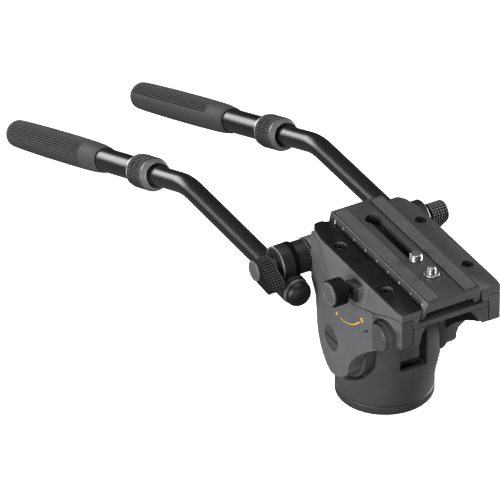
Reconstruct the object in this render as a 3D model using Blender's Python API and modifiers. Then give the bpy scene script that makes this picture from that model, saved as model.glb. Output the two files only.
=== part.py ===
"""Fluid video head with a sliding camera plate and two telescopic pan handles.

Metres, +Z up.  The origin is the centre of the mounting face, on the pan axis.  The camera looks along -Y,
the handles run back along +Y, and the side with the plate lock is -X (called left below).
"""

import math

import bmesh
import bpy
from mathutils import Matrix

# General
CLEAR = 0.0003                 # gap between pieces that touch in the real head
RUN_CLEAR = 0.0008             # gap between the rails and the cheeks below them
WELD = 0.000002                # distance below which two points are one
CUT_OVER = 0.002               # how far a cutter reaches past the face that it opens
SMOOTH_DEG = 32.0              # faces that meet at less than this are shaded as one
ROUND_SIDES = 40               # sides of the large turned pieces
SMALL_SIDES = 24               # sides of the knobs, screws and bosses
TUBE_SIDES = 16                # sides of the handle tubes
BEVEL_SEGMENTS = 2
BEVEL_FROM_DEG = 40.0          # edges that turn by more than this are rounded
CUT_FAR = 0.0040               # how far a cutter reaches past a body that was made larger by CUT_OVER
ARC_STEPS = 8                  # steps of a rounded stretch in an outline
LONG_ARC_STEPS = 16            # steps of an arc of half a turn or more
CORNER_STEPS = 3               # steps of a small rounded corner
CROWN_STEPS = 24               # steps of the post's round top and of the pockets beside it

# Base and pan stage
BASE_R = 0.0375
BASE_H = 0.0074
BASE_EDGE = 0.0006
BUSHING_R = 0.0187
BUSHING_Z0 = 0.0006
SOCKET_R = 0.0042              # bore of the 3/8 inch tripod thread
SOCKET_TOP_Z = 0.0160
PAN_FLANGE_R = 0.0160
PAN_FLANGE_TOP_Z = 0.0105
PAN_SHAFT_R = 0.0090
PAN_SHAFT_TOP_Z = 0.0330
BEARING_R = 0.0150
BEARING_TOP_Z = 0.0145
DRAG_DISC_R = 0.0276
DRAG_DISC_HOLE_R = 0.0164
DRAG_DISC_TOP_Z = 0.0142

# Housing that turns on the base and carries the tilt shaft
CAVITY_R = 0.0280
CAVITY_TOP_Z = 0.0185
SHAFT_BORE_TOP_Z = 0.0345
SKIRT_TOP_Z = 0.0160
HOUSING_R = 0.0430
SHOULDER_Z = 0.0430
TILT_Z = 0.0605
POST_CROWN_R = 0.0530
POCKET_R = 0.0360
RECESS_HALF_W = 0.0112
RECESS_Y = -0.0310
RECESS_Z = 0.0420
SLOT_HALF_W = 0.0105
SLOT_Y0 = -0.0380
SLOT_Y1 = -0.0330
SLOT_Z = 0.0340

# Pan lock at the back of the housing
PAN_LOCK_Z = 0.0290
PAN_LOCK_STEM_R = 0.0042
PAN_LOCK_STEM_L = 0.0130
PAN_LOCK_KNOB_GAP = 0.0010
PAN_LOCK_KNOB_L = 0.0140
PAN_LOCK_KNOB_R = 0.0105
PAN_LOCK_STEM_Y0 = HOUSING_R - PAN_LOCK_STEM_L
PAN_LOCK_KNOB_Y0 = HOUSING_R + PAN_LOCK_KNOB_GAP
PAN_LOCK_KNOB_Y1 = PAN_LOCK_KNOB_Y0 + PAN_LOCK_KNOB_L

# Tilt shaft, fluid drums and bushes
TILT_SHAFT_R = 0.0070
DRUM_R = 0.0335
BUSH_R = 0.0100
BUSH_L = 0.0050
COIN_CAP_R = 0.0102
COIN_CAP_SINK = 0.0002         # how far the coin cap stays below the cheek's face
COIN_SLOT_W = 0.0018
COIN_SLOT_DEPTH = 0.0015
COIN_SLOT_DEG = 2.0
TILT_KNOB_STEM_R = 0.0095
TILT_KNOB_GAP = 0.0005
TILT_KNOB_W = 0.0130
TILT_KNOB_R = 0.0155

# Tilting platform, front to back
FRONT_Y = -0.0940
REAR_Y = 0.0425
DECK_HALF_W = 0.0318
DECK_Z0 = 0.1180
DECK_Z1 = 0.1222
POST_INSET = 0.0048            # from the deck's edge in to the side of the housing's post
RAIL_TOP_Z = 0.1337
RAIL_LOW_Z = 0.1070
RAIL_TOP_INSET = 0.0043        # from the cheek's face in to the rail's top edge
RAIL_LOW_FLARE = 0.0013        # from the cheek's face out to the rail's low edge
RAIL_REAR_RELIEF = 0.0003
RAIL_END_OUT = 0.0010          # rounded rear end of a rail, seen from above
RAIL_END_L = 0.0060
RAIL_END_MID_IN = 0.0020
RAIL_END_MID_L = 0.0010
RAIL_END_IN = 0.0040
RAIL_INNER_CHAMFER = 0.0020
DOVETAIL_INSET = 0.0040        # from the deck's edge in to the foot of the dovetail
DOVETAIL_LEAN = 0.0034
CHEEK_WALL = 0.0144
CHEEK_THIN_DEPTH = 0.0041      # how much the cheek is hollowed where the fluid drum turns
CHEEK_THIN_R = 0.0345
CHEEK_ROUND_R = 0.0305
FACET_REAR_Y = 0.0
FACET_REAR_IN = 0.0081
FACET_FRONT_Y = -0.0580
FACET_FRONT_IN = 0.0055
ARM_BOTTOM_Z = 0.1045
ARM_REAR_Y = -0.0620
ARM_CHAMFER = 0.0080
ARM_TOP_W = 0.0113
ARM_MID_W = 0.0078
ARM_LOW_W = 0.0056
ARCH_MID_Z = 0.1130
NOSE_Y = -0.0685
NOSE_Z = 0.1010
NOSE_R = 0.0103
NOSE_EDGE = 0.0005
NOSE_STEP_R = 0.0115
NOSE_STEP_DEPTH = 0.0045
NOSE_POCKET_Y = -0.0755        # round pocket that the nose stands in, off centre towards the front
NOSE_POCKET_Z = 0.1045
NOSE_POCKET_R = 0.0155
NOSE_POCKET_DEPTH = 0.0100
# Upper edge of a cheek and lower front edge of it, as (y, z) from the back
GAP_LINE = [(0.0262, 0.1272), (0.0177, 0.1205), (0.0104, 0.1164), (0.0002, 0.1127), (-0.0130, 0.1098),
            (-0.0269, 0.1088), (-0.0350, 0.1098), (-0.0435, 0.1126), (-0.0635, 0.1186),
            (-0.0788, 0.1243), (-0.0860, 0.1260)]
GAP_REAR_Z = 0.1274
GAP_FRONT_Z = 0.1266
LOW_LINE = [(-0.0820, 0.0975), (-0.0715, 0.0912), (-0.0617, 0.0856), (-0.0485, 0.0760), (-0.0374, 0.0659),
            (-0.0290, 0.0555), (-0.0256, 0.0480)]
CUSP_DEG = 212.0
CHEEK_REAR_KNEE = (0.0330, 0.0770)

# Rosette seats, brackets and wing knobs
BRACKET_Y = 0.0525
BRACKET_Z = 0.1005
LOBE_R = 0.0135
LOBE_START_DEG = -122.0        # where the lobe's round edge leaves the cheek below it
LOBE_IN = 0.0098               # from the cheek's face in to the lobe that carries the rosette
ROSETTE_R = 0.0126
ROSETTE_SEAT_GAP = 0.0006
ROSETTE_EDGE = 0.0008
HUB_NECK_R = 0.0110
HUB_NECK_L = 0.0027
HUB_R = 0.0140
HUB_L = 0.0135
TUBE_OUT = 0.0100              # from the cheek's face out to the handle's axis
TUBE_Z = 0.0855
CLAMP_R = 0.0112
CLAMP_Y0 = 0.0340
CLAMP_Y1 = 0.0690
END_CAP_Y0 = 0.0240
END_CAP_R = 0.0108
END_CAP_DOME = 0.0060
WING_STEM_R = 0.0050
WING_STEM_L = 0.0039
WING_L = 0.0137
WING_HUB_R = 0.0087
WING_WEB_R = 0.0075
WING_WEB_DEG = 100.0           # where the lobe's web leaves the hub, from the lobe's own direction
WING_LOBE_INNER = 0.0006       # from the hub's ends to the lobe's faces
WING_LOBE_OUTER = 0.0014
WING_REACH = 0.0192
WING_DEG = {"left": -165.0, "right": -62.0}    # where each wing's lobe points at rest, from +Y towards +Z
WING_TIP_R = 0.0048
WING_CAP_R = 0.0074
WING_CAP_L = 0.0012

# Handles: a bent inner tube, and an outer tube with the grip that slides on it
TUBE_R = 0.0080
TUBE_BORE_R = 0.0066
TUBE_Y0 = 0.0346
BEND_Y = 0.1990
BEND_R = 0.0600
SLOPE_DEG = 21.6
INNER_TUBE_S = 0.2420          # end of the inner tube, from the bend along the sloping stretch
FRONT_RING_S0 = 0.0505
FRONT_RING_R = 0.0128
COLLAR_S0 = 0.0565
COLLAR_S1 = 0.0795
COLLAR_R = 0.0134
COLLAR_EDGE = 0.0012
SILVER_RING_S1 = 0.0823
SILVER_RING_R = 0.0129
OUTER_TUBE_S0 = 0.0588
OUTER_TUBE_S1 = 0.2960
OUTER_TUBE_R = 0.0094
GRIP_S0 = 0.1430
GRIP_S1 = 0.3090
GRIP_R = 0.0122
GRIP_NECK_R = 0.0106
GRIP_NECK_L = 0.0110
GRIP_NECK_RISE = 0.0037
GRIP_END_R = 0.0095
GRIP_END_L = 0.0050

# Sliding plate, strips and camera screws
PLATE_Y0 = -0.0980
PLATE_Y1 = 0.0420
PLATE_SIDE_GAP = 0.0025        # between the plate's foot and the foot of the dovetail
PLATE_LEAN = 0.0033
PLATE_Z0 = 0.1230
PLATE_Z1 = 0.1398
PLATE_RAKE = 0.0074            # how far the front face draws back towards the foot
PLATE_LIP = 0.0008
CHANNEL_Z = 0.1293             # ceiling of the channel between the plate's two feet
CHANNEL_IN = 0.0015
PLATE_FOOT_W = 0.0036
STRIP_X0 = 0.0105
STRIP_MARGIN = 0.0014
STRIP_END = 0.0025
STRIP_DEPTH = 0.0008
STRIP_RISE = 0.0005
STRIP_CORNER = 0.0020
SLOT_R = 0.0042
KEYHOLE_R = 0.0062
KEYHOLE_Y = 0.0180
UNDERCUT_R = 0.0085
UNDERCUT_Z = 0.1340
LARGE_SCREW_Y = -0.0437
LARGE_SCREW_R = 0.00476        # 3/8 inch thread
LARGE_SCREW_TOP_Z = 0.1450
SMALL_SCREW_Y = -0.0660
SMALL_SCREW_R = 0.003175       # 1/4 inch thread
SMALL_SCREW_TOP_Z = 0.1464
SMALL_SCREW_COLLAR_R = 0.0058
SMALL_SCREW_COLLAR_Z = 0.1412
SCREW_HEAD_R = 0.0080
SCREW_HEAD_Z0 = 0.1276
SCREW_CHAMFER = 0.0008
SCREW_NECK_GAP = 0.0006

# Plate lock: jaw, knob and safety button
JAW_Y0 = -0.0487
JAW_Y1 = -0.0198
BOSS_OUT = 0.0047
BOSS_Y0 = -0.0425
BOSS_Y1 = -0.0270
BOSS_Z0 = 0.1178
BOSS_Z1 = 0.1290
BOSS_EDGE = 0.0012
LOCK_Y = -0.0345
LOCK_Z = 0.1266
LOCK_STEM_R = 0.0036
LOCK_STEM_L = 0.0048
LOCK_L = 0.0109
LOCK_R = 0.0103
LOCK_EDGE = 0.0009
LOCK_CAP_R = 0.0088
LOCK_CAP_L = 0.0015
CAP_EDGE = 0.0004
BUTTON_INSET = 0.0011
BUTTON_W = 0.0062
BUTTON_Y0 = -0.0400
BUTTON_Y1 = -0.0298
BUTTON_Z0 = 0.1266
BUTTON_Z1 = 0.1306
BUTTON_TRAVEL = 0.0016
BUTTON_EDGE = 0.0006

# Rail screws
RAIL_SCREW_IN = 0.0022         # from the cheek's inner face out to the rail screws
RAIL_SCREW_Y = [0.0075, -0.0595]
RAIL_SCREW_HEAD_R = 0.0036
RAIL_SCREW_HEAD_Z0 = 0.1290
RAIL_SCREW_HEAD_Z1 = 0.1327
RAIL_SCREW_R = 0.0016
RAIL_SCREW_Z0 = 0.1205
COUNTERBORE_R = 0.0049
HEX_R = 0.0021
HEX_SIDES = 6
HEX_DEPTH = 0.0020

# Widths that follow: everything beside the deck is stacked from its edge
POST_HALF_W = DECK_HALF_W - POST_INSET
CHEEK_IN_X = DECK_HALF_W + CLEAR
CHEEK_X = CHEEK_IN_X + CHEEK_WALL
CHEEK_THIN_X = CHEEK_IN_X + CHEEK_THIN_DEPTH
FACET_REAR_X = CHEEK_X - FACET_REAR_IN
FACET_FRONT_X = CHEEK_X - FACET_FRONT_IN
DRUM_X1 = CHEEK_THIN_X - CLEAR
BUSH_X0 = CHEEK_THIN_X + CLEAR
TILT_SHAFT_X = BUSH_X0 + BUSH_L
COIN_CAP_X1 = CHEEK_X - COIN_CAP_SINK
TILT_KNOB_X0 = CHEEK_X + TILT_KNOB_GAP
TILT_KNOB_X1 = TILT_KNOB_X0 + TILT_KNOB_W
ARCH_TOP_X = DECK_HALF_W - ARM_TOP_W
ARCH_MID_X = DECK_HALF_W - ARM_MID_W
ARCH_LOW_X = DECK_HALF_W - ARM_LOW_W
RAIL_TOP_X = CHEEK_X - RAIL_TOP_INSET
RAIL_LOW_X = CHEEK_X + RAIL_LOW_FLARE
RAIL_SCREW_X = CHEEK_IN_X + RAIL_SCREW_IN
DOVETAIL_LOW_X = DECK_HALF_W - DOVETAIL_INSET
DOVETAIL_TOP_X = DOVETAIL_LOW_X - DOVETAIL_LEAN
RAIL_REAR_INNER_X = DOVETAIL_LOW_X - RAIL_REAR_RELIEF
PLATE_LOW_X = DOVETAIL_LOW_X - PLATE_SIDE_GAP
PLATE_TOP_X = PLATE_LOW_X - PLATE_LEAN
CHANNEL_LOW_X = PLATE_LOW_X - PLATE_FOOT_W
CHANNEL_TOP_X = PLATE_TOP_X - CHANNEL_IN
STRIP_X1 = PLATE_TOP_X - STRIP_MARGIN
LOBE_X1 = CHEEK_X - LOBE_IN
LOBE_X0 = POST_HALF_W + CLEAR
ROSETTE_X0 = LOBE_X1 + CLEAR
ROSETTE_X1 = CHEEK_X
HUB_NECK_X0 = ROSETTE_X1 + CLEAR
HUB_X0 = HUB_NECK_X0 + HUB_NECK_L
HUB_X1 = HUB_X0 + HUB_L
TUBE_X = CHEEK_X + TUBE_OUT
WING_X0 = HUB_X1 + WING_STEM_L
WING_X1 = WING_X0 + WING_L
WING_LOBE_X0 = WING_X0 + WING_LOBE_INNER
WING_LOBE_X1 = WING_X1 - WING_LOBE_OUTER
WING_CAP_X1 = WING_X1 + WING_CAP_L
BOSS_X1 = CHEEK_X + BOSS_OUT
LOCK_X0 = BOSS_X1 + LOCK_STEM_L
LOCK_X1 = LOCK_X0 + LOCK_L
LOCK_CAP_X1 = LOCK_X1 + LOCK_CAP_L
BUTTON_X1 = BOSS_X1 - BUTTON_INSET
BUTTON_X0 = BUTTON_X1 - BUTTON_W


# Scene, collections and materials

for old in list(bpy.data.objects):
    bpy.data.objects.remove(old)

PARTS = bpy.data.collections.new("fluid_video_head")
GUIDES = bpy.data.collections.new("joint_axes")
bpy.context.scene.collection.children.link(PARTS)
bpy.context.scene.collection.children.link(GUIDES)


def material(name, colour, roughness, metallic):
    """A plain Principled material."""
    mat = bpy.data.materials.new(name)
    mat.use_nodes = True
    shader = mat.node_tree.nodes["Principled BSDF"]
    shader.inputs["Base Color"].default_value = (*colour, 1.0)
    shader.inputs["Roughness"].default_value = roughness
    shader.inputs["Metallic"].default_value = metallic
    return mat


CASTING = material("dark_casting", (0.045, 0.046, 0.048), 0.50, 0.25)
SIDE_GREY = material("side_grey", (0.110, 0.112, 0.116), 0.50, 0.25)
PLATE_GREY = material("plate_grey", (0.070, 0.071, 0.074), 0.45, 0.60)
RUBBER = material("rubber", (0.055, 0.055, 0.057), 0.85, 0.0)
GRIP_RUBBER = material("grip_rubber", (0.020, 0.020, 0.021), 0.80, 0.0)
TUBE_BLACK = material("tube_black", (0.012, 0.012, 0.013), 0.35, 0.70)
KNOB_BLACK = material("knob_black", (0.022, 0.022, 0.024), 0.55, 0.0)
CAP_GREY = material("cap_grey", (0.230, 0.235, 0.245), 0.45, 0.30)
NICKEL = material("nickel", (0.620, 0.610, 0.590), 0.25, 1.0)
STEEL = material("steel", (0.450, 0.450, 0.460), 0.35, 1.0)
SCREW_BLACK = material("screw_black", (0.015, 0.015, 0.016), 0.40, 0.80)
BRONZE = material("bronze", (0.420, 0.300, 0.150), 0.40, 1.0)


# Shape helpers: each returns an object whose mesh is in world coordinates

def keep(obj, name):
    """Turns an object into a plain mesh object in world coordinates and drops the original."""
    graph = bpy.context.evaluated_depsgraph_get()
    mesh = bpy.data.meshes.new_from_object(obj.evaluated_get(graph))
    mesh.transform(obj.matrix_world)
    work = bmesh.new()
    work.from_mesh(mesh)
    bmesh.ops.remove_doubles(work, verts=work.verts, dist=WELD)
    bmesh.ops.recalc_face_normals(work, faces=work.faces)
    work.to_mesh(mesh)
    work.free()
    bpy.data.objects.remove(obj)
    made = bpy.data.objects.new(name, mesh)
    PARTS.objects.link(made)
    return made


def rounded(obj, width):
    """Rounds the sharp edges of an object."""
    bevel = obj.modifiers.new("edges", "BEVEL")
    bevel.width = width
    bevel.segments = BEVEL_SEGMENTS
    bevel.limit_method = "ANGLE"
    bevel.angle_limit = math.radians(BEVEL_FROM_DEG)
    return apply(obj)


def apply(obj):
    """Applies the modifiers of an object."""
    bpy.context.view_layer.update()
    return keep(obj, obj.name)


def closed(obj):
    """True for a mesh that has faces and no open edge."""
    work = bmesh.new()
    work.from_mesh(obj.data)
    whole = len(work.faces) > 0 and all(edge.is_manifold for edge in work.edges)
    work.free()
    return whole


def joined(target, other, operation):
    """Boolean of two objects; the second one goes.  The manifold solver follows where the exact one fails."""
    name, start = target.name, target.data.copy()
    for solver in ("EXACT", "MANIFOLD"):
        boolean = target.modifiers.new("join", "BOOLEAN")
        boolean.operation = operation
        boolean.solver = solver
        boolean.object = other
        bpy.context.view_layer.update()
        made = keep(target, name)
        if closed(made):
            break
        made.data = start.copy()
        target = made
    bpy.data.objects.remove(other)
    return made


def cut(target, *others):
    for other in others:
        target = joined(target, other, "DIFFERENCE")
    return target


def union(target, *others):
    for other in others:
        target = joined(target, other, "UNION")
    return target


def common(target, *others):
    for other in others:
        target = joined(target, other, "INTERSECT")
    return target


def turned(name, profile, frame, sides=SMALL_SIDES):
    """Turns a closed profile of (radius, height) about the frame's own Z."""
    mesh = bpy.data.meshes.new(name)
    edges = [(i, (i + 1) % len(profile)) for i in range(len(profile))]
    edges = [(i, j) for i, j in edges if profile[i][0] or profile[j][0]]
    mesh.from_pydata([(r, 0.0, h) for r, h in profile], edges, [])
    obj = bpy.data.objects.new(name, mesh)
    PARTS.objects.link(obj)
    obj.matrix_world = frame
    screw = obj.modifiers.new("turn", "SCREW")
    screw.axis = "Z"
    screw.steps = sides
    screw.render_steps = sides
    screw.use_merge_vertices = True
    screw.merge_threshold = WELD
    bpy.context.view_layer.update()
    return keep(obj, name)


def prism(name, outline, frame, low, high):
    """Extrudes a flat outline in the frame's XY plane from low to high along its Z."""
    curve = bpy.data.curves.new(name, "CURVE")
    curve.dimensions = "2D"
    curve.fill_mode = "BOTH"
    curve.extrude = (high - low) / 2.0
    spline = curve.splines.new("POLY")
    spline.points.add(len(outline) - 1)
    for point, (u, v) in zip(spline.points, outline):
        point.co = (u, v, 0.0, 1.0)
    spline.use_cyclic_u = True
    obj = bpy.data.objects.new(name, curve)
    PARTS.objects.link(obj)
    obj.matrix_world = frame @ Matrix.Translation((0.0, 0.0, (low + high) / 2.0))
    bpy.context.view_layer.update()
    return keep(obj, name)


def block(name, x0, x1, y0, y1, z0, z1):
    """A box between two corners, whichever way round they are given."""
    mesh = bpy.data.meshes.new(name)
    work = bmesh.new()
    size = (abs(x1 - x0), abs(y1 - y0), abs(z1 - z0))
    centre = ((x0 + x1) / 2.0, (y0 + y1) / 2.0, (z0 + z1) / 2.0)
    bmesh.ops.create_cube(work, size=1.0, matrix=Matrix.Translation(centre) @ Matrix.Diagonal((*size, 1.0)))
    work.to_mesh(mesh)
    work.free()
    obj = bpy.data.objects.new(name, mesh)
    PARTS.objects.link(obj)
    return obj


def swept(name, points, radius):
    """A round bar along a line of points, with closed ends."""
    curve = bpy.data.curves.new(name, "CURVE")
    curve.dimensions = "3D"
    curve.bevel_depth = radius
    curve.bevel_resolution = (TUBE_SIDES - 4) // 2
    curve.use_fill_caps = True
    spline = curve.splines.new("POLY")
    spline.points.add(len(points) - 1)
    for point, place in zip(spline.points, points):
        point.co = (*place, 1.0)
    obj = bpy.data.objects.new(name, curve)
    PARTS.objects.link(obj)
    bpy.context.view_layer.update()
    return keep(obj, name)


def arc(centre, radius, start_deg, end_deg, steps=ARC_STEPS):
    """Points of a circular arc, both ends included."""
    return [(centre[0] + radius * math.cos(math.radians(start_deg + (end_deg - start_deg) * i / steps)),
             centre[1] + radius * math.sin(math.radians(start_deg + (end_deg - start_deg) * i / steps)))
            for i in range(steps + 1)]


def bar(radius, low, high, edge=0.0):
    """Profile of a solid round bar on its axis, its ends chamfered."""
    if not edge:
        return [(0.0, high), (radius, high), (radius, low), (0.0, low)]
    return [(0.0, high), (radius - edge, high), (radius, high - edge),
            (radius, low + edge), (radius - edge, low), (0.0, low)]


def ring(outer, inner, low, high, edge=0.0):
    """Profile of a ring, its outer edges chamfered."""
    if not edge:
        return [(inner, high), (outer, high), (outer, low), (inner, low)]
    return [(inner, high), (outer - edge, high), (outer, high - edge),
            (outer, low + edge), (outer - edge, low), (inner, low)]


def along_x(side, y, z):
    """Frame on an axis parallel to X; its Z points away from the middle on that side."""
    return Matrix.Translation((0.0, y, z)) @ Matrix.Rotation(side * math.pi / 2.0, 4, "Y")


def side_view():
    """Frame whose plane holds (y, z) and whose Z is X."""
    return Matrix(((0.0, 0.0, 1.0, 0.0), (1.0, 0.0, 0.0, 0.0), (0.0, 1.0, 0.0, 0.0), (0.0, 0.0, 0.0, 1.0)))


def front_view():
    """Frame whose plane holds (x, z) and whose Z is -Y."""
    return Matrix(((1.0, 0.0, 0.0, 0.0), (0.0, 0.0, -1.0, 0.0), (0.0, 1.0, 0.0, 0.0), (0.0, 0.0, 0.0, 1.0)))


def side_prism(name, outline, side, near, far):
    """Extrudes a (y, z) outline between two distances from the middle plane."""
    low, high = sorted((side * near, side * far))
    return prism(name, outline, side_view(), low, high)


def front_prism(name, outline, side, y0, y1):
    """Extrudes an (x, z) outline, mirrored to the given side, from y0 to y1."""
    return prism(name, [(side * x, z) for x, z in outline], front_view(), -y1, -y0)


def plan_prism(name, outline, side, z0, z1):
    """Extrudes an (x, y) outline, mirrored to the given side, from z0 to z1."""
    return prism(name, [(side * x, y) for x, y in outline], Matrix.Identity(4), z0, z1)


def side_block(name, side, near, far, y0, y1, z0, z1):
    return block(name, side * near, side * far, y0, y1, z0, z1)


PIECES = {}


def finish(obj, mat, body):
    """Shades a piece, gives it its material and files it under its moving body."""
    obj.data.materials.clear()
    obj.data.materials.append(mat)
    obj.data.shade_smooth()
    obj.data.set_sharp_from_angle(angle=math.radians(SMOOTH_DEG))
    PIECES.setdefault(body, []).append(obj)
    return obj


SIDES = {"left": -1, "right": 1}
UP = Matrix.Identity(4)

# Base ring, tripod bushing, pan shaft and bearing

finish(turned("base_ring", ring(BASE_R, BUSHING_R + CLEAR, 0.0, BASE_H, BASE_EDGE), UP, ROUND_SIDES),
       CASTING, "base")
finish(turned("thread_bushing", ring(BUSHING_R, SOCKET_R, BUSHING_Z0, BASE_H), UP), STEEL, "base")
flange_z = BASE_H + CLEAR
finish(turned("pan_shaft",
              [(0.0, PAN_SHAFT_TOP_Z), (PAN_SHAFT_R, PAN_SHAFT_TOP_Z), (PAN_SHAFT_R, PAN_FLANGE_TOP_Z),
               (PAN_FLANGE_R, PAN_FLANGE_TOP_Z), (PAN_FLANGE_R, flange_z), (SOCKET_R, flange_z),
               (SOCKET_R, SOCKET_TOP_Z), (0.0, SOCKET_TOP_Z)], UP), STEEL, "base")
bearing = ring(BEARING_R, PAN_SHAFT_R + CLEAR, PAN_FLANGE_TOP_Z + CLEAR, BEARING_TOP_Z)
finish(turned("pan_bearing", bearing, UP), NICKEL, "base")

# Housing: a turned body, trimmed to the post above the tilt axis

crown_z = TILT_Z + POST_CROWN_R
housing = turned("pan_housing",
                 [(0.0, crown_z + CUT_OVER), (HOUSING_R, crown_z + CUT_OVER), (HOUSING_R, SHOULDER_Z),
                  (BASE_R, SKIRT_TOP_Z),
                  (BASE_R, flange_z + BASE_EDGE), (BASE_R - BASE_EDGE, flange_z), (CAVITY_R, flange_z),
                  (CAVITY_R, CAVITY_TOP_Z), (PAN_SHAFT_R + CLEAR, CAVITY_TOP_Z),
                  (PAN_SHAFT_R + CLEAR, SHAFT_BORE_TOP_Z), (0.0, SHAFT_BORE_TOP_Z)], UP, ROUND_SIDES)
crown = [(POST_CROWN_R, -CUT_OVER)]
crown += arc((0.0, TILT_Z), POST_CROWN_R, 0.0, 180.0, CROWN_STEPS)
crown += [(-POST_CROWN_R, -CUT_OVER)]
pocket = arc((0.0, TILT_Z), POCKET_R, 180.0, 360.0, CROWN_STEPS)
pocket_top = crown_z + CUT_FAR
pocket += [(HOUSING_R + CUT_OVER, TILT_Z), (HOUSING_R + CUT_OVER, pocket_top),
           (-HOUSING_R - CUT_OVER, pocket_top), (-HOUSING_R - CUT_OVER, TILT_Z)]
for side in SIDES.values():
    housing = cut(housing, side_prism("pocket", pocket, side, POST_HALF_W, HOUSING_R + CUT_OVER))
housing = common(housing, prism("crown", crown, side_view(), -HOUSING_R - CUT_OVER, HOUSING_R + CUT_OVER))
housing = cut(
    housing,
    block("recess", -RECESS_HALF_W, RECESS_HALF_W, -HOUSING_R - CUT_OVER, RECESS_Y, RECESS_Z, pocket_top),
    block("slot", -SLOT_HALF_W, SLOT_HALF_W, SLOT_Y0, SLOT_Y1, SLOT_Z, RECESS_Z + CUT_OVER),
    turned("shaft_bore", bar(TILT_SHAFT_R + CLEAR, -POST_HALF_W - CUT_OVER, POST_HALF_W + CUT_OVER),
           along_x(1, 0.0, TILT_Z)),
    turned("lock_bore", bar(PAN_LOCK_STEM_R + CLEAR, PAN_LOCK_STEM_Y0, HOUSING_R + CUT_OVER),
           Matrix.Translation((0.0, 0.0, PAN_LOCK_Z)) @ Matrix.Rotation(-math.pi / 2.0, 4, "X")))
finish(housing, CASTING, "pan")
drag_disc = ring(DRAG_DISC_R, DRAG_DISC_HOLE_R, PAN_FLANGE_TOP_Z + CLEAR, DRAG_DISC_TOP_Z)
finish(turned("pan_drag_disc", drag_disc, UP), BRONZE, "pan")

# Pan lock knob

back = Matrix.Translation((0.0, 0.0, PAN_LOCK_Z)) @ Matrix.Rotation(-math.pi / 2.0, 4, "X")
finish(turned("pan_lock_knob",
              [(0.0, PAN_LOCK_KNOB_Y1), (PAN_LOCK_KNOB_R - LOCK_EDGE, PAN_LOCK_KNOB_Y1),
               (PAN_LOCK_KNOB_R, PAN_LOCK_KNOB_Y1 - LOCK_EDGE), (PAN_LOCK_KNOB_R, PAN_LOCK_KNOB_Y0),
               (PAN_LOCK_STEM_R, PAN_LOCK_KNOB_Y0), (PAN_LOCK_STEM_R, PAN_LOCK_STEM_Y0 + CLEAR),
               (0.0, PAN_LOCK_STEM_Y0 + CLEAR)], back), KNOB_BLACK, "pan_lock")

# Tilt shaft and fluid drums

finish(turned("tilt_shaft", bar(TILT_SHAFT_R, -TILT_SHAFT_X, TILT_SHAFT_X), along_x(1, 0.0, TILT_Z)),
       STEEL, "pan")
for word, side in SIDES.items():
    finish(turned(f"tilt_drum_{word}",
                  ring(DRUM_R, TILT_SHAFT_R + CLEAR, POST_HALF_W + CLEAR, DRUM_X1),
                  along_x(side, 0.0, TILT_Z), ROUND_SIDES), CASTING, "pan")

# Deck with its front arms

deck = block("deck", -DECK_HALF_W, DECK_HALF_W, FRONT_Y, REAR_Y - CLEAR, DECK_Z0, DECK_Z1)
finish(deck, CASTING, "tilt")

arch = [(DECK_HALF_W, ARM_BOTTOM_Z), (DECK_HALF_W, DECK_Z0 - CLEAR), (ARCH_TOP_X, DECK_Z0 - CLEAR),
        (ARCH_MID_X, ARCH_MID_Z), (ARCH_LOW_X, ARM_BOTTOM_Z)]
for word, side in SIDES.items():
    arm = front_prism(f"{word}_front_arm", arch, side, FRONT_Y, ARM_REAR_Y)
    wedge = [(ARM_REAR_Y + CUT_OVER, ARM_BOTTOM_Z - CUT_OVER),
             (ARM_REAR_Y - ARM_CHAMFER - CUT_OVER, ARM_BOTTOM_Z - CUT_OVER),
             (ARM_REAR_Y + CUT_OVER, ARM_BOTTOM_Z + ARM_CHAMFER + CUT_OVER)]
    arm = cut(arm, side_prism("wedge", wedge, side, 0.0, CHEEK_X))
    finish(arm, CASTING, "tilt")

# Cheeks: a side outline cut to the plan of the platform

lobe_join_deg = math.degrees(math.acos((REAR_Y - BRACKET_Y) / LOBE_R))
cheek_line = [(REAR_Y, GAP_REAR_Z)] + GAP_LINE + [(FRONT_Y, GAP_FRONT_Z), (FRONT_Y, ARM_BOTTOM_Z)] + LOW_LINE
cheek_line += arc((0.0, TILT_Z), CHEEK_ROUND_R, CUSP_DEG, 360.0, LONG_ARC_STEPS)
cheek_line += [CHEEK_REAR_KNEE]
cheek_line += arc((BRACKET_Y, BRACKET_Z), LOBE_R, LOBE_START_DEG, lobe_join_deg, LONG_ARC_STEPS)
rail_edge = [(y, z + RUN_CLEAR) for y, z in GAP_LINE]
plan = [(FACET_FRONT_X, FRONT_Y - CUT_OVER), (CHEEK_X, FACET_FRONT_Y), (CHEEK_X, FACET_REAR_Y)]
lobe_y = REAR_Y + CLEAR
cheek_plan = [(CHEEK_IN_X, FRONT_Y - CUT_OVER)] + plan + [
    (FACET_REAR_X, lobe_y), (LOBE_X1, lobe_y), (LOBE_X1, BRACKET_Y + LOBE_R + CUT_OVER),
    (LOBE_X0, BRACKET_Y + LOBE_R + CUT_OVER), (LOBE_X0, lobe_y), (CHEEK_IN_X, lobe_y)]
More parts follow.
